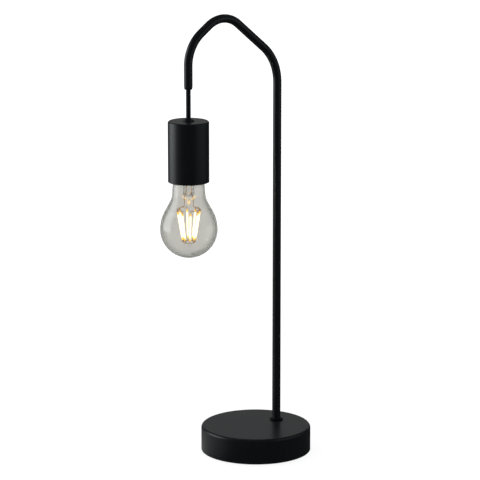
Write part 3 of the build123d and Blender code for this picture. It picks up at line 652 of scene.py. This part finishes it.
def drill(piece, matrix, radius):
    """Cuts a round hole through a piece's wall and keeps the cut mesh."""
    bm = bmesh.new()
    bmesh.ops.create_cone(
        bm, cap_ends=True, segments=64, radius1=radius, radius2=radius, depth=8 * MM, matrix=matrix
    )
    bit = new_object("drill", bm)
    cut = piece.modifiers.new("Hole", "BOOLEAN")
    cut.operation = "DIFFERENCE"
    cut.solver = "EXACT"
    cut.object = bit
    piece.modifiers.move(len(piece.modifiers) - 1, 0)
    shading = piece.modifiers["Even shading"]
    shading.show_viewport = False
    bpy.context.view_layer.update()
    cut_mesh = bpy.data.meshes.new_from_object(
        piece.evaluated_get(bpy.context.evaluated_depsgraph_get())
    )
    shading.show_viewport = True
    piece.modifiers.remove(cut)
    whole_mesh = piece.data
    piece.data = cut_mesh
    cut_mesh.name = piece.name
    bpy.data.meshes.remove(whole_mesh)

    # The bit's object goes with its mesh
    bpy.data.meshes.remove(bit.data)


# Operators


class LAMP_OT_camera(bpy.types.Operator):
    """Sets the camera where the photograph was taken from"""

    bl_idname = "lamp.camera"
    bl_label = "Camera"

    def execute(self, context):
        stage = context.scene.lamp_stage
        target = Vector((-13.42, 10.67, 232.23)) * MM
        level = cos(stage.elevation)
        back = Vector(
            (sin(stage.azimuth) * level, -cos(stage.azimuth) * level, sin(stage.elevation))
        )
        data = bpy.data.cameras.new("camera")
        data.lens = stage.focal_length
        data.sensor_width = 36
        data.clip_end = 60
        camera = bpy.data.objects.new("camera", data)
        camera.location = target + back * stage.distance
        camera.rotation_mode = "QUATERNION"
        camera.rotation_quaternion = (-back).to_track_quat("-Z", "Y")
        context.scene.collection.objects.link(camera)
        context.scene.camera = camera
        return {"FINISHED"}


class LAMP_OT_finishes(bpy.types.Operator):
    """Makes every procedural finish and gives it to the pieces that stay as they are"""

    bl_idname = "lamp.finishes"
    bl_label = "Finishes"

    def execute(self, context):
        make_finishes(context.scene.lamp_finish)
        for row in frame["record"]["subparts"]:
            if row["material_slot"] in FINISHES:
                dress_node(row["node"], row["material_slot"])
        return {"FINISHED"}


class LAMP_OT_cord(bpy.types.Operator):
    """Hangs the cord between the tube's mouth and the lampholder"""

    bl_idname = "lamp.cord"
    bl_label = "Cord"

    def execute(self, context):
        diameter = context.scene.lamp_sizes.cord_diameter
        lower_end = foot_and_top("pendant_cord")[0]
        line = bpy.data.curves.new("hanging_cord", "CURVE")
        line.dimensions = "3D"
        line.bevel_depth = diameter / 2
        line.bevel_resolution = 8
        line.use_fill_caps = True
        line.resolution_u = 12
        spline = line.splines.new("NURBS")
        heights = evenly(MOUTH.z, lower_end, 4)
        spline.points.add(len(heights) - 1)
        for point, height in zip(spline.points, heights):
            point.co = (PENDANT.x, PENDANT.y, height, 1)
        spline.order_u = 3
        spline.use_endpoint_u = True
        cord = bpy.data.objects.new("hanging_cord", line)
        context.scene.collection.objects.link(cord)
        line.materials.append(FINISHES["cord_sheath"])
        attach(cord, "pendant")
        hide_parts("pendant_cord")

        # The ball of cord on which it swings, in the mouth
        bm = bmesh.new()
        pole = [bm.verts.new((0, 0, -diameter / 2))]
        bend(bm, pole, (0, 0, 0), (0, -1, 0), pi, 9)
        lathe(bm, 40)
        at_mouth = Matrix.Translation(MOUTH)
        make_piece("cord_bend_ball", bm, "cord_knuckle", "cord_sheath", "cord_bend", at_mouth)
        return {"FINISHED"}


class LAMP_OT_base(bpy.types.Operator):
    """Presses the round base and fits the grommet in its rear wall"""

    bl_idname = "lamp.base"
    bl_label = "Base"

    def execute(self, context):
        sizes = context.scene.lamp_sizes
        radius = half_width("base_shell")
        foot, top = foot_and_top("base_shell")
        inside, ceiling = radius - sizes.shell_wall, top - sizes.shell_wall
        profile = [
            (0, top),
            (radius, top, sizes.base_edge),
            (radius, foot, 0.35 * MM),
            (inside, foot, 0.35 * MM),
            (inside, ceiling, 0.9 * MM),
            (0, ceiling),
        ]
        bm = turn_piece(profile, 160, closed=False)
        cover = make_piece("base_cover", bm, "stand", "black_lacquer", "base_shell")

        entry_low, entry_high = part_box("cable_entry")
        entry_height = (entry_low.z + entry_high.z) / 2
        neck = 4.5 * MM
        clearance = 0.1 * MM
        sideways = Matrix.Rotation(pi / 2, 4, "Y")
        tube_hole = Matrix.Translation(UPRIGHT + Vector((0, 0, top)))
        entry_hole = Matrix.Translation((radius, 0, entry_height)) @ sideways
        drill(cover, tube_hole, sizes.tube_diameter / 2 + clearance)
        drill(cover, entry_hole, neck + clearance)

        flange = half_width("cable_entry")
        inner_lip, lip_thickness = flange - 0.5 * MM, 1.5 * MM
        wall_face, end = radius - entry_low.x, entry_high.x - entry_low.x
        profile = [
            (CORD_BORE, 0, 0.3 * MM),
            (inner_lip, 0, 0.3 * MM),
            (inner_lip, lip_thickness, 0.3 * MM),
            (neck, lip_thickness, 0.2 * MM),
            (neck, wall_face, 0.2 * MM),
            (flange, wall_face, 0.2 * MM),
            (flange, end, 0.9 * MM),
            (CORD_BORE, end, 0.5 * MM),
        ]
        at_entry = Matrix.Translation((entry_low.x, 0, entry_height)) @ sideways
        bm = turn_piece(profile, 64)
        make_piece("rear_grommet", bm, "stand", "black_plastic", "cable_entry", at_entry)
        return {"FINISHED"}


class LAMP_OT_crook(bpy.types.Operator):
    """Bends the tube, and adds its foot ring and the bush in its mouth"""

    bl_idname = "lamp.crook"
    bl_label = "Crook"

    def execute(self, context):
        sizes = context.scene.lamp_sizes
        radius = sizes.tube_diameter / 2
        bush_foot, bush_top = foot_and_top("mouth_bush")
        tube_end = MOUTH.z + 1.5 * MM
        crown_x = -43.5 * MM
        drop_corner = MOUTH.z + 44.8 * MM
        crown_corner = drop_corner + 32.88 * MM
        shoulder_corner = crown_corner - 58.38 * MM
        nose_step, nose_radii = 0.5 * MM, (4.47 * MM, 4.38 * MM, 4.2 * MM)
        route = [
            (UPRIGHT.x, 0, foot_and_top("tube")[0]),
            (UPRIGHT.x, 0, shoulder_corner),
            (crown_x, 0, crown_corner),
            (PENDANT.x, 0, drop_corner),
            (PENDANT.x, 0, tube_end + nose_step * len(nose_radii)),
        ]
        bm = bmesh.new()
        end = ring(bm, route[0], radius, 48)
        end = follow(bm, end, route, [sizes.shoulder_bend, sizes.crown_bend, sizes.drop_bend], 2.5)
        nose = radius
        for next_radius in nose_radii:
            end = run(bm, end, (0, 0, -nose_step))
            factor = next_radius / nose
            about_pendant = Matrix.Translation(-PENDANT)
            bmesh.ops.scale(bm, vec=(factor, factor, 1), space=about_pendant, verts=verts_of(end))
            nose = next_radius
        bmesh.ops.recalc_face_normals(bm, faces=bm.faces)
        bmesh.ops.solidify(bm, geom=bm.faces[:], thickness=sizes.tube_wall)
        make_piece("crook_tube", bm, "stand", "black_lacquer", "tube")

        foot, top = foot_and_top("foot_collar")
        collar = half_width("foot_collar")
        bore = radius + 0.05 * MM
        profile = [
            (bore, foot),
            (collar, foot, 0.1 * MM),
            (collar, top, 0.55 * MM),
            (bore, top, 0.15 * MM),
        ]
        at_upright = Matrix.Translation(UPRIGHT)
        bm = turn_piece(profile, 72)
        # The collar wears the darker copy of the lacquer: painted shade round the tube's foot
        make_piece(
            "foot_ring_collar", bm, "stand", "black_lacquer", "foot_collar", at_upright, look="dull_lacquer"
        )

        spigot = radius - sizes.tube_wall - 0.4 * MM
        profile = [
            (CORD_BORE, bush_foot, 0.45 * MM),
            (nose - 0.3 * MM, bush_foot, 0.3 * MM),
            (nose - 0.1 * MM, bush_foot + 0.5 * MM, 0.3 * MM),
            (nose, tube_end),
            (spigot, tube_end),
            (spigot, bush_top, 0.3 * MM),
            (CORD_BORE, bush_top, 0.3 * MM),
        ]
        bm = turn_piece(profile, 64)
        make_piece("mouth_nose", bm, "stand", "black_plastic", "mouth_bush", AT_PENDANT)
        return {"FINISHED"}


class LAMP_OT_holder(bpy.types.Operator):
    """Turns the lampholder's cup, cord grip, inner sleeve and threaded shell"""

    bl_idname = "lamp.holder"
    bl_label = "Lampholder"

    def execute(self, context):
        sizes = context.scene.lamp_sizes
        radius = half_width("holder_cup")
        foot, top = foot_and_top("holder_cup")
        inside, ceiling = radius - sizes.cup_wall, top - sizes.cup_wall
        nipple = 5.1 * MM
        profile = [
            (nipple, top, 0.15 * MM),
            (radius, top, sizes.cup_edge),
            (radius, foot, 0.4 * MM),
            (inside, foot, 0.4 * MM),
            (inside, ceiling, 0.6 * MM),
            (nipple, ceiling),
        ]
        bm = turn_piece(profile, 128)
        make_piece("lampholder_cup", bm, "pendant", "black_lacquer", "holder_cup", AT_PENDANT)

        grip_foot = foot_and_top("cord_grip")[0]
        grip = half_width("cord_grip") - 0.5 * MM
        cord = sizes.cord_diameter / 2 + 0.05 * MM
        thread = nipple - 0.1 * MM
        profile = [
            (cord, grip_foot),
            (thread, grip_foot, 0.4 * MM),
            (thread, top),
            (grip, top, 0.1 * MM),
            (grip, top + 1.2 * MM, 0.5 * MM),
            (cord + 1.4 * MM, top + 1.9 * MM, 0.7 * MM),
            (cord + 0.5 * MM, top + 2.7 * MM, 0.3 * MM),
            (cord, top + 2.7 * MM, 0.2 * MM),
        ]
        bm = turn_piece(profile, 64)
        make_piece("grip_nut", bm, "pendant", "black_plastic", "cord_grip", AT_PENDANT)

        body_foot, body_top = foot_and_top("holder_body")
        body = half_width("holder_body")
        shell_foot, shell_top = foot_and_top("threaded_shell")
        shell = half_width("threaded_shell")
        seat = shell + 0.1 * MM
        carrier, mouth, funnel = 15.6 * MM, 13.8 * MM, 1.5 * MM
        profile = [
            (body, body_foot, 0.5 * MM),
            (body, body_top),
            (carrier, body_top),
            (carrier, shell_top),
            (seat, shell_top),
            (seat, shell_foot),
            (mouth, shell_foot, 0.2 * MM),
            (mouth, body_foot + funnel, 0.5 * MM),
            (mouth + funnel, body_foot, 0.4 * MM),
        ]
        bm = turn_piece(profile, 96)
        make_piece("insulating_sleeve", bm, "pendant", "black_plastic", "holder_body", AT_PENDANT)

        sheet = 0.5 * MM
        inner, rim = shell - sheet, shell - sheet - 2.3 * MM
        heights = evenly(shell_foot, shell_top, 60)
        profile = [(shell, height) for height in heights]
        profile += [(rim, shell_top), (rim, shell_top - sheet)]
        profile += [(inner, height) for height in reversed(heights[:-1])]
        bm = turn_piece(profile, 72)
        press_thread(bm, shell_foot + 0.8 * MM, shell_top - 2.0 * MM, sizes)
        make_piece("threaded_sleeve", bm, "pendant", "brass", "threaded_shell", AT_PENDANT)
        return {"FINISHED"}


class LAMP_OT_glass(bpy.types.Operator):
    """Blows the lamp's envelope and makes the glass stem inside it"""

    bl_idname = "lamp.glass"
    bl_label = "Lamp glass"

    def execute(self, context):
        self.blow_globe(context.scene.lamp_sizes.glass_wall)
        self.draw_stem()
        return {"FINISHED"}

    @staticmethod
    def blow_globe(glass_wall):
        """The globe, its shoulder's wider arc, the cone, the waisted neck and the throat."""
        radius = GLOBE_RADIUS - 0.02 * MM
        shoulder, slope, waist = 40 * MM, radians(28.6), 20 * MM
        neck_radius, neck_top_radius = 17.6 * MM, 16.8 * MM
        neck_top, throat = 46 * MM, 11.3 * MM
        round_y = (0, -1, 0)
        bm = bmesh.new()
        end = [bm.verts.new((0, 0, -radius))]
        end = bend(bm, end, (0, 0, 0), round_y, pi / 2, 3)
        end = bend(bm, end, (radius - shoulder, 0, 0), round_y, slope, 3)
        cone = Vector((radius - shoulder * (1 - cos(slope)), 0, shoulder * sin(slope)))
        neck = Vector((neck_radius, 0, cone.z + (cone.x - neck_radius) / tan(slope)))
        top = Vector((neck_top_radius, 0, neck_top))
        end = follow(bm, end, [cone, neck, top], [waist], 3)
        along = (top - neck).normalized()
        inward = Vector((-along.z, 0, along.x))
        across = Vector((throat, 0, THROAT_FOOT)) - top
        crown_radius = across.length_squared / (2 * inward.dot(across))
        turn = 2 * asin(across.length / (2 * crown_radius))
        end = bend(bm, end, top + inward * crown_radius, round_y, turn, 6)
        run(bm, end, (0, 0, THROAT_TOP - THROAT_FOOT))
        lathe(bm, 128)
        bmesh.ops.solidify(bm, geom=bm.faces[:], thickness=glass_wall)
        make_piece("glass_globe", bm, "lamp_glass", "clear_glass", "lamp_envelope", AT_GLOBE, crease=60)

    def draw_stem(self):
        """One skin: up inside the tube, over its flare, down outside to the pinch and the bead."""
        stem, wall = 5.8 * MM, 1.0 * MM
        hollow, pinch_foot = 36.8 * MM, 32.0 * MM
        widest = pinch_foot + 3.2 * MM
        flare = half_width("lamp_driver")
        bm = bmesh.new()
        end = ring(bm, (0, 0, hollow), 0.6 * MM, 48)
        for width, height in (
            (1.5 * MM, hollow + 1.0 * MM),
            (2.6 * MM, hollow + 2.4 * MM),
            (3.7 * MM, hollow + 4.2 * MM),
            (4.5 * MM, hollow + 6.4 * MM),
            (stem - wall, hollow + 8.6 * MM),
            (stem - wall, THROAT_FOOT - 0.5 * MM),
            (stem, THROAT_FOOT + wall),
            (flare - wall, THROAT_TOP),
            (flare, THROAT_TOP),
            (flare, THROAT_TOP - wall),
            (8.0 * MM, THROAT_FOOT + 2.2 * MM),
            (6.3 * MM, THROAT_FOOT),
            (stem, THROAT_FOOT - 1.5 * MM),
            (stem, widest + 6.4 * MM),
        ):
            end = self.narrow(bm, end, width, height)
        for width, height, flatness in (
            (5.85 * MM, widest + 4.8 * MM, 0.95),
            (6.0 * MM, widest + 3.4 * MM, 0.82),
            (6.3 * MM, widest + 2.4 * MM, 0.62),
            (6.65 * MM, widest + 1.4 * MM, 0.43),
            (6.9 * MM, widest + 0.6 * MM, 0.33),
            (7.0 * MM, widest, 0.29),
            (6.9 * MM, widest - 0.8 * MM, 0.28),
            (6.5 * MM, pinch_foot + 1.2 * MM, 0.29),
            (5.9 * MM, pinch_foot + 0.3 * MM, 0.3),
            (5.5 * MM, pinch_foot, 0.3),
            (2.4 * MM, pinch_foot - 0.8 * MM, 0.6),
            (1.6 * MM, pinch_foot - 1.6 * MM, 1.0),
        ):
            end = self.narrow(bm, end, width, height, flatness)
        bead, bead_radius = pinch_foot - 3.5 * MM, 2.3 * MM
        for angle in range(45, -86, -10):
            width = bead_radius * cos(radians(angle))
            end = self.narrow(bm, end, width, bead + bead_radius * sin(radians(angle)))
        close_ends(bm)
        at_leads = AT_GLOBE @ Matrix.Rotation(LEAD_ANGLE, 4, "Z")
        # The stem's glass glows with painted gold glints
        make_piece(
            "glass_stem", bm, "lamp_core", "clear_glass", "stem", at_leads, crease=60, look="stem_glass"
        )

    @staticmethod
    def narrow(bm, end, radius, height, flatness=1.0):
        """Extrudes a ring to a height, and scales it to a radius and a flatness."""
        end = run(bm, end, (0, 0, 0))
        verts = verts_of(end)
        for vert in verts:
            vert.co.z = height
        widen = radius / max(vert.co.x for vert in verts)
        deepen = radius * flatness / max(vert.co.y for vert in verts)
        bmesh.ops.scale(bm, vec=(widen, deepen, 1), verts=verts)
        return end


class LAMP_OT_filaments(bpy.types.Operator):
    """Sets the eight lit rods, with their tabs, foot ring and lead wires"""

    bl_idname = "lamp.filaments"
    bl_label = "Filaments"

    def execute(self, context):
        sizes = context.scene.lamp_sizes
        count = 8
        top_radius, foot_radius = 12.0 * MM, 6.3 * MM
        top, foot = 20.8 * MM, -13.2 * MM
        tab = 2.2 * MM
        slant = Vector((top_radius - foot_radius, 0, top - foot))
        lean = slant.to_track_quat("Z", "Y").to_matrix().to_4x4()
        onto_foot = Matrix.Translation((foot_radius, 0, foot)) @ lean
        at_first = AT_GLOBE @ Matrix.Rotation(LEAD_ANGLE + pi / count, 4, "Z")

        coated_from, coated_to = GLOBE.z + foot + tab, GLOBE.z + top - tab
        filament_finish("filament_coating", context.scene.lamp_finish, coated_from, coated_to)
        rod, rounding = sizes.filament_diameter / 2, 0.35 * MM
        lap = 0.11 * MM
        start, end = tab - lap, slant.length - tab + lap
        profile = [(0, start), (rod, start, rounding), (rod, end, rounding), (0, end)]
        bm = turn_piece(profile, 24, closed=False, segments=4)
        place(bm, onto_foot)
        repeat_round(bm, count)
        make_piece("filament_rods", bm, "lamp_core", "filament_coating", "filaments", at_first)

        bm = bmesh.new()
        for height in (tab / 2, slant.length - tab / 2):
            strip = Matrix.Diagonal((0.4 * MM, 1.5 * MM, tab, 1))
            bmesh.ops.create_cube(bm, size=1, matrix=Matrix.Translation((0, 0, height)) @ strip)
        ease(bm, bm.edges[:], 0.08 * MM, 2, "EDGES")
        place(bm, onto_foot)
        repeat_round(bm, count)
        make_piece("rod_tabs", bm, "lamp_core", "filament_metal", "filament_tabs", at_first)

        wire = sizes.wire_diameter / 2
        bm = bmesh.new()
        wire_section(bm, (foot_radius, 0, foot - wire), wire)
        lathe(bm, 64)
        make_piece("lower_ring", bm, "lamp_core", "filament_metal", "foot_ring", AT_GLOBE)

        # Each lead comes down inside the stem and out of the pinch to a half hoop over four rods
        bm = bmesh.new()
        hoop = top + wire
        outlet, inlet = 4.8 * MM, 2.8 * MM
        half_arc = pi - FULL_TURN / count
        route = [
            (inlet, 0, THROAT_TOP),
            (inlet, 0, 38.4 * MM),
            (outlet, 0, 33.5 * MM),
            (outlet, 0, 24.4 * MM),
            (top_radius, 0, hoop),
        ]
        for side in (0, pi):
            before = set(bm.verts)
            section = wire_section(bm, (top_radius, 0, hoop), wire)
            place(bm, Matrix.Rotation(-half_arc / 2, 4, "Z"), verts_of(section))
            bend(bm, section, (0, 0, 0), (0, 0, 1), half_arc, 5)
            lead = ring(bm, route[0], wire, WIRE_SIDES)
            follow(bm, lead, route, [4.0 * MM, 4.0 * MM, 2.0 * MM], 12)
            made = [vert for vert in bm.verts if vert not in before]
            place(bm, Matrix.Rotation(LEAD_ANGLE + side, 4, "Z"), made)
        close_ends(bm)
        make_piece("lead_wires", bm, "lamp_core", "filament_metal", "support_wires", AT_GLOBE)
        return {"FINISHED"}


class LAMP_OT_cap(bpy.types.Operator):
    """Rolls the threaded cap onto the lamp"""

    bl_idname = "lamp.cap"
    bl_label = "Lamp cap"

    def execute(self, context):
        foot, top = foot_and_top("lamp_cap")
        skirt, skirt_top = half_width("lamp_cap"), foot + 2.5 * MM
        outer, bore = 13.1 * MM, 11.65 * MM
        inner = outer - 0.3 * MM
        cone_foot = top - 1.5 * MM
        heights = evenly(skirt_top, cone_foot, 54)
        profile = [(bore, foot), (skirt, foot, 0.3 * MM), (skirt, skirt_top - 0.3 * MM, 0.3 * MM)]
        profile += [(outer, height) for height in heights]
        profile += [(11.0 * MM, top), (10.5 * MM, top), (inner - 0.4 * MM, cone_foot - 0.2 * MM)]
        profile += [(inner, height) for height in reversed(heights[2:-1])]
        profile += [(bore, heights[1])]
        bm = turn_piece(profile, 72, segments=4)
        sizes = context.scene.lamp_sizes
        press_thread(bm, skirt_top + 0.4 * MM, cone_foot - 0.2 * MM, sizes)
        make_piece("screw_cap", bm, "lamp_core", "nickel_cap", "lamp_cap", AT_PENDANT)
        return {"FINISHED"}


class LAMP_OT_stage(bpy.types.Operator):
    """Lays the floor and sets the lights"""

    bl_idname = "lamp.stage"
    bl_label = "Stage"

    def execute(self, context):
        stage = context.scene.lamp_stage
        viewer = stage.azimuth - pi / 2
        toward = Vector((cos(viewer), sin(viewer), 0))
        left = Vector((sin(viewer), -cos(viewer), 0))
        self.floor(left)
        self.world(context, left, toward)
        self.softbox(
            "key_softbox",
            brightness=stage.key_light,
            colour=(0.9, 0.96, 1.0),
            bearing=viewer - radians(98),
            distance=1.25,
            height=0.6,
            size=(1.6, 1.3),
        )
        self.softbox(
            "fill_softbox",
            brightness=stage.fill_light,
            colour=(0.82, 0.92, 1.0),
            bearing=viewer + radians(75),
            distance=1.3,
            height=0.6,
            size=(2.7, 1.3),
        )
        self.softbox(
            "top_softbox",
            brightness=stage.top_light,
            colour=(1.0, 0.985, 0.975),
            bearing=viewer,
            distance=0.1,
            height=1.7,
            size=(1.2, 1.2),
            overhead=True,
        )
        return {"FINISHED"}

    @staticmethod
    def softbox(name, brightness, colour, bearing, distance, height, size, overhead=False):
        """A rectangular light that faces the lamp and fades towards its edges."""
        data = bpy.data.lights.new(name, "AREA")
        data.shape = "RECTANGLE"
        data.size, data.size_y = size
        data.energy = brightness * pi * size[0] * size[1]
        data.color = colour
        data.use_nodes = True
        tree = data.node_tree
        spot = new_node(tree, "ShaderNodeNewGeometry", "Place on the softbox").outputs["Parametric"]
        centred = vector_maths(tree, "SUBTRACT", "From its middle", spot, (0.5, 0.5, 0))
        sides = split(tree, centred, "Across and up")
        fades = []
        for axis, near in (("X", 0.12), ("Y", 0.34)):
            out = maths(tree, "ABSOLUTE", "Distance out", sides[axis])
            fades.append(mapped(tree, out, (near, 0.5), (1, 0), "Soft edge"))
        soft = maths(tree, "MULTIPLY", "Soft edges", *fades)
        feed(tree, tree.nodes["Emission"].inputs, {"Strength": soft})
        light = bpy.data.objects.new(name, data)
        light.location = (distance * cos(bearing), distance * sin(bearing), height)
        aim = Vector((0, 0, 0 if overhead else height)) - light.location
        light.rotation_mode = "QUATERNION"
        light.rotation_quaternion = aim.to_track_quat("-Z", "Y")
        light.visible_camera = False
        light.visible_glossy = not overhead
        bpy.context.scene.collection.objects.link(light)

    @staticmethod
    def rays(tree):
        """Two masks: rays that look at the stage straight or through glass, and mirrored ones."""
        path = new_node(tree, "ShaderNodeLightPath", "Which ray").outputs
        through = path["Is Transmission Ray"]
        seen = maths(tree, "MAXIMUM", "Camera or through glass", path["Is Camera Ray"], through)
        mirrored = maths(tree, "GREATER_THAN", "Mirrored only", path["Is Glossy Ray"], through)
        return seen, mirrored

    @staticmethod
    def brighter_towards(tree, vector, direction, reach, levels, label):
        """A level that rises smoothly along a direction."""
        along = vector_maths(tree, "DOT_PRODUCT", "Towards it", vector, direction, result="Value")
        return mapped(tree, along, reach, levels, label)

    def floor(self, left):
        """A white table that keeps the lamp's shadow, and that lacquer mirrors as the room lights it."""
        bm = bmesh.new()
        below = Matrix.Translation((0, 0, -0.05 * MM))
        bmesh.ops.create_circle(bm, cap_ends=True, segments=96, radius=14, matrix=below)
        floor = new_object("floor", bm)
        material = bpy.data.materials.new("white_table")
        material.use_nodes = True
        tree = material.node_tree
        tree.nodes.clear()
        vector = object_space(tree)
        seen, glossy = self.rays(tree)

        tooth = noise(tree, vector, 800, 2.0, "Paper tooth")
        paper = blend_colours(tree, tooth, (0.2, 0.2, 0.2), (0.215, 0.215, 0.215))
        lit = new_node(tree, "ShaderNodeBsdfDiffuse", "White table", {"Color": paper})
        distance = vector_maths(tree, "LENGTH", "From the lamp", vector, result="Value")
        far_off = mapped(tree, distance, (0.12, 0.7), (0.86, 1.05), "Ground far off")
        white = maths(tree, "MULTIPLY", "White where seen", far_off, seen)
        glow = new_node(tree, "ShaderNodeEmission", "White ground", {"Strength": white})
        added = {0: lit.outputs[0], 1: glow.outputs[0]}
        ground = new_node(tree, "ShaderNodeAddShader", "Lit and white", added)

        bearing = vector_maths(tree, "NORMALIZE", "Bearing", vector)
        key = self.brighter_towards(tree, bearing, left, (0.55, 1.2), (0.03, 0.39), "Lit by the key")
        mirrored = new_node(tree, "ShaderNodeEmission", "As lacquer mirrors it", {"Strength": key})
        either = {"Fac": glossy, 1: ground.outputs[0], 2: mirrored.outputs[0]}
        surface = new_node(tree, "ShaderNodeMixShader", "Seen or mirrored", either)
        new_node(tree, "ShaderNodeOutputMaterial", "Output", {"Surface": surface.outputs[0]})
        floor.data.materials.append(material)

    def world(self, context, left, toward):
        """White where it is looked at, and a dim room that is brighter on the left elsewhere."""
        stage = context.scene.lamp_stage
        world = bpy.data.worlds.new("studio")
        world.use_nodes = True
        context.scene.world = world
        tree = world.node_tree
        direction = new_node(tree, "ShaderNodeTexCoord", "Direction").outputs["Generated"]
        far_wall = (Vector((0, 0, 0.27)) - toward).normalized()
        levels = (stage.darkness, stage.surround)
        room = self.brighter_towards(tree, direction, far_wall, (0.78, 0.97), levels, "Mirrored room")
        bright_side = (left * 0.6 - toward * 0.6 + Vector((0, 0, 0.5))).normalized()
        dome = self.brighter_towards(tree, direction, bright_side, (-0.8, 1.0), (0.5, 0.95), "Room light")
        seen, glossy = self.rays(tree)
        unseen = mixed(tree, glossy, dome, room, "Mirrored or lighting")
        strength = mixed(tree, seen, unseen, 1.0, "White where seen")
        background = tree.nodes["Background"].inputs
        feed(tree, background, {"Strength": strength, "Color": (1, 1, 1, 1)})


class LAMP_PT_panel(bpy.types.Panel):
    """The lamp's steps and settings"""

    bl_idname = "LAMP_PT_panel"
    bl_label = "Table lamp"
    bl_space_type = "VIEW_3D"
    bl_region_type = "UI"
    bl_category = "Lamp"

    def draw(self, context):
        layout = self.layout
        for operator in STEPS:
            layout.operator(operator.bl_idname)
        for group in ("lamp_sizes", "lamp_finish", "lamp_stage"):
            settings = getattr(context.scene, group)
            box = layout.box()
            for name in settings.__annotations__:
                box.prop(settings, name)


STEPS = (
    LAMP_OT_camera,
    LAMP_OT_finishes,
    LAMP_OT_cord,
    LAMP_OT_base,
    LAMP_OT_crook,
    LAMP_OT_holder,
    LAMP_OT_glass,
    LAMP_OT_filaments,
    LAMP_OT_cap,
    LAMP_OT_stage,
)
CLASSES = (LampSizes, LampFinish, LampStage, *STEPS, LAMP_PT_panel)


def register():
    """Registers the classes, and gives the scene its three groups of settings."""
    for cls in CLASSES:
        bpy.utils.register_class(cls)
    bpy.types.Scene.lamp_sizes = bpy.props.PointerProperty(type=LampSizes)
    bpy.types.Scene.lamp_finish = bpy.props.PointerProperty(type=LampFinish)
    bpy.types.Scene.lamp_stage = bpy.props.PointerProperty(type=LampStage)


def unregister():
    """Takes away what register added."""
    del bpy.types.Scene.lamp_stage
    del bpy.types.Scene.lamp_finish
    del bpy.types.Scene.lamp_sizes
    for cls in reversed(CLASSES):
        bpy.utils.unregister_class(cls)


def main():
    """Builds the whole lamp."""
    register()
    bpy.context.scene.view_settings.view_transform = "Standard"
    bpy.ops.lamp.camera()
    bpy.ops.lamp.finishes()
    bpy.ops.lamp.cord()
    bpy.ops.lamp.base()
    bpy.ops.lamp.crook()
    bpy.ops.lamp.holder()
    bpy.ops.lamp.glass()
    bpy.ops.lamp.filaments()
    bpy.ops.lamp.cap()
    bpy.ops.lamp.stage()


if __name__ == "__main__":
    main()
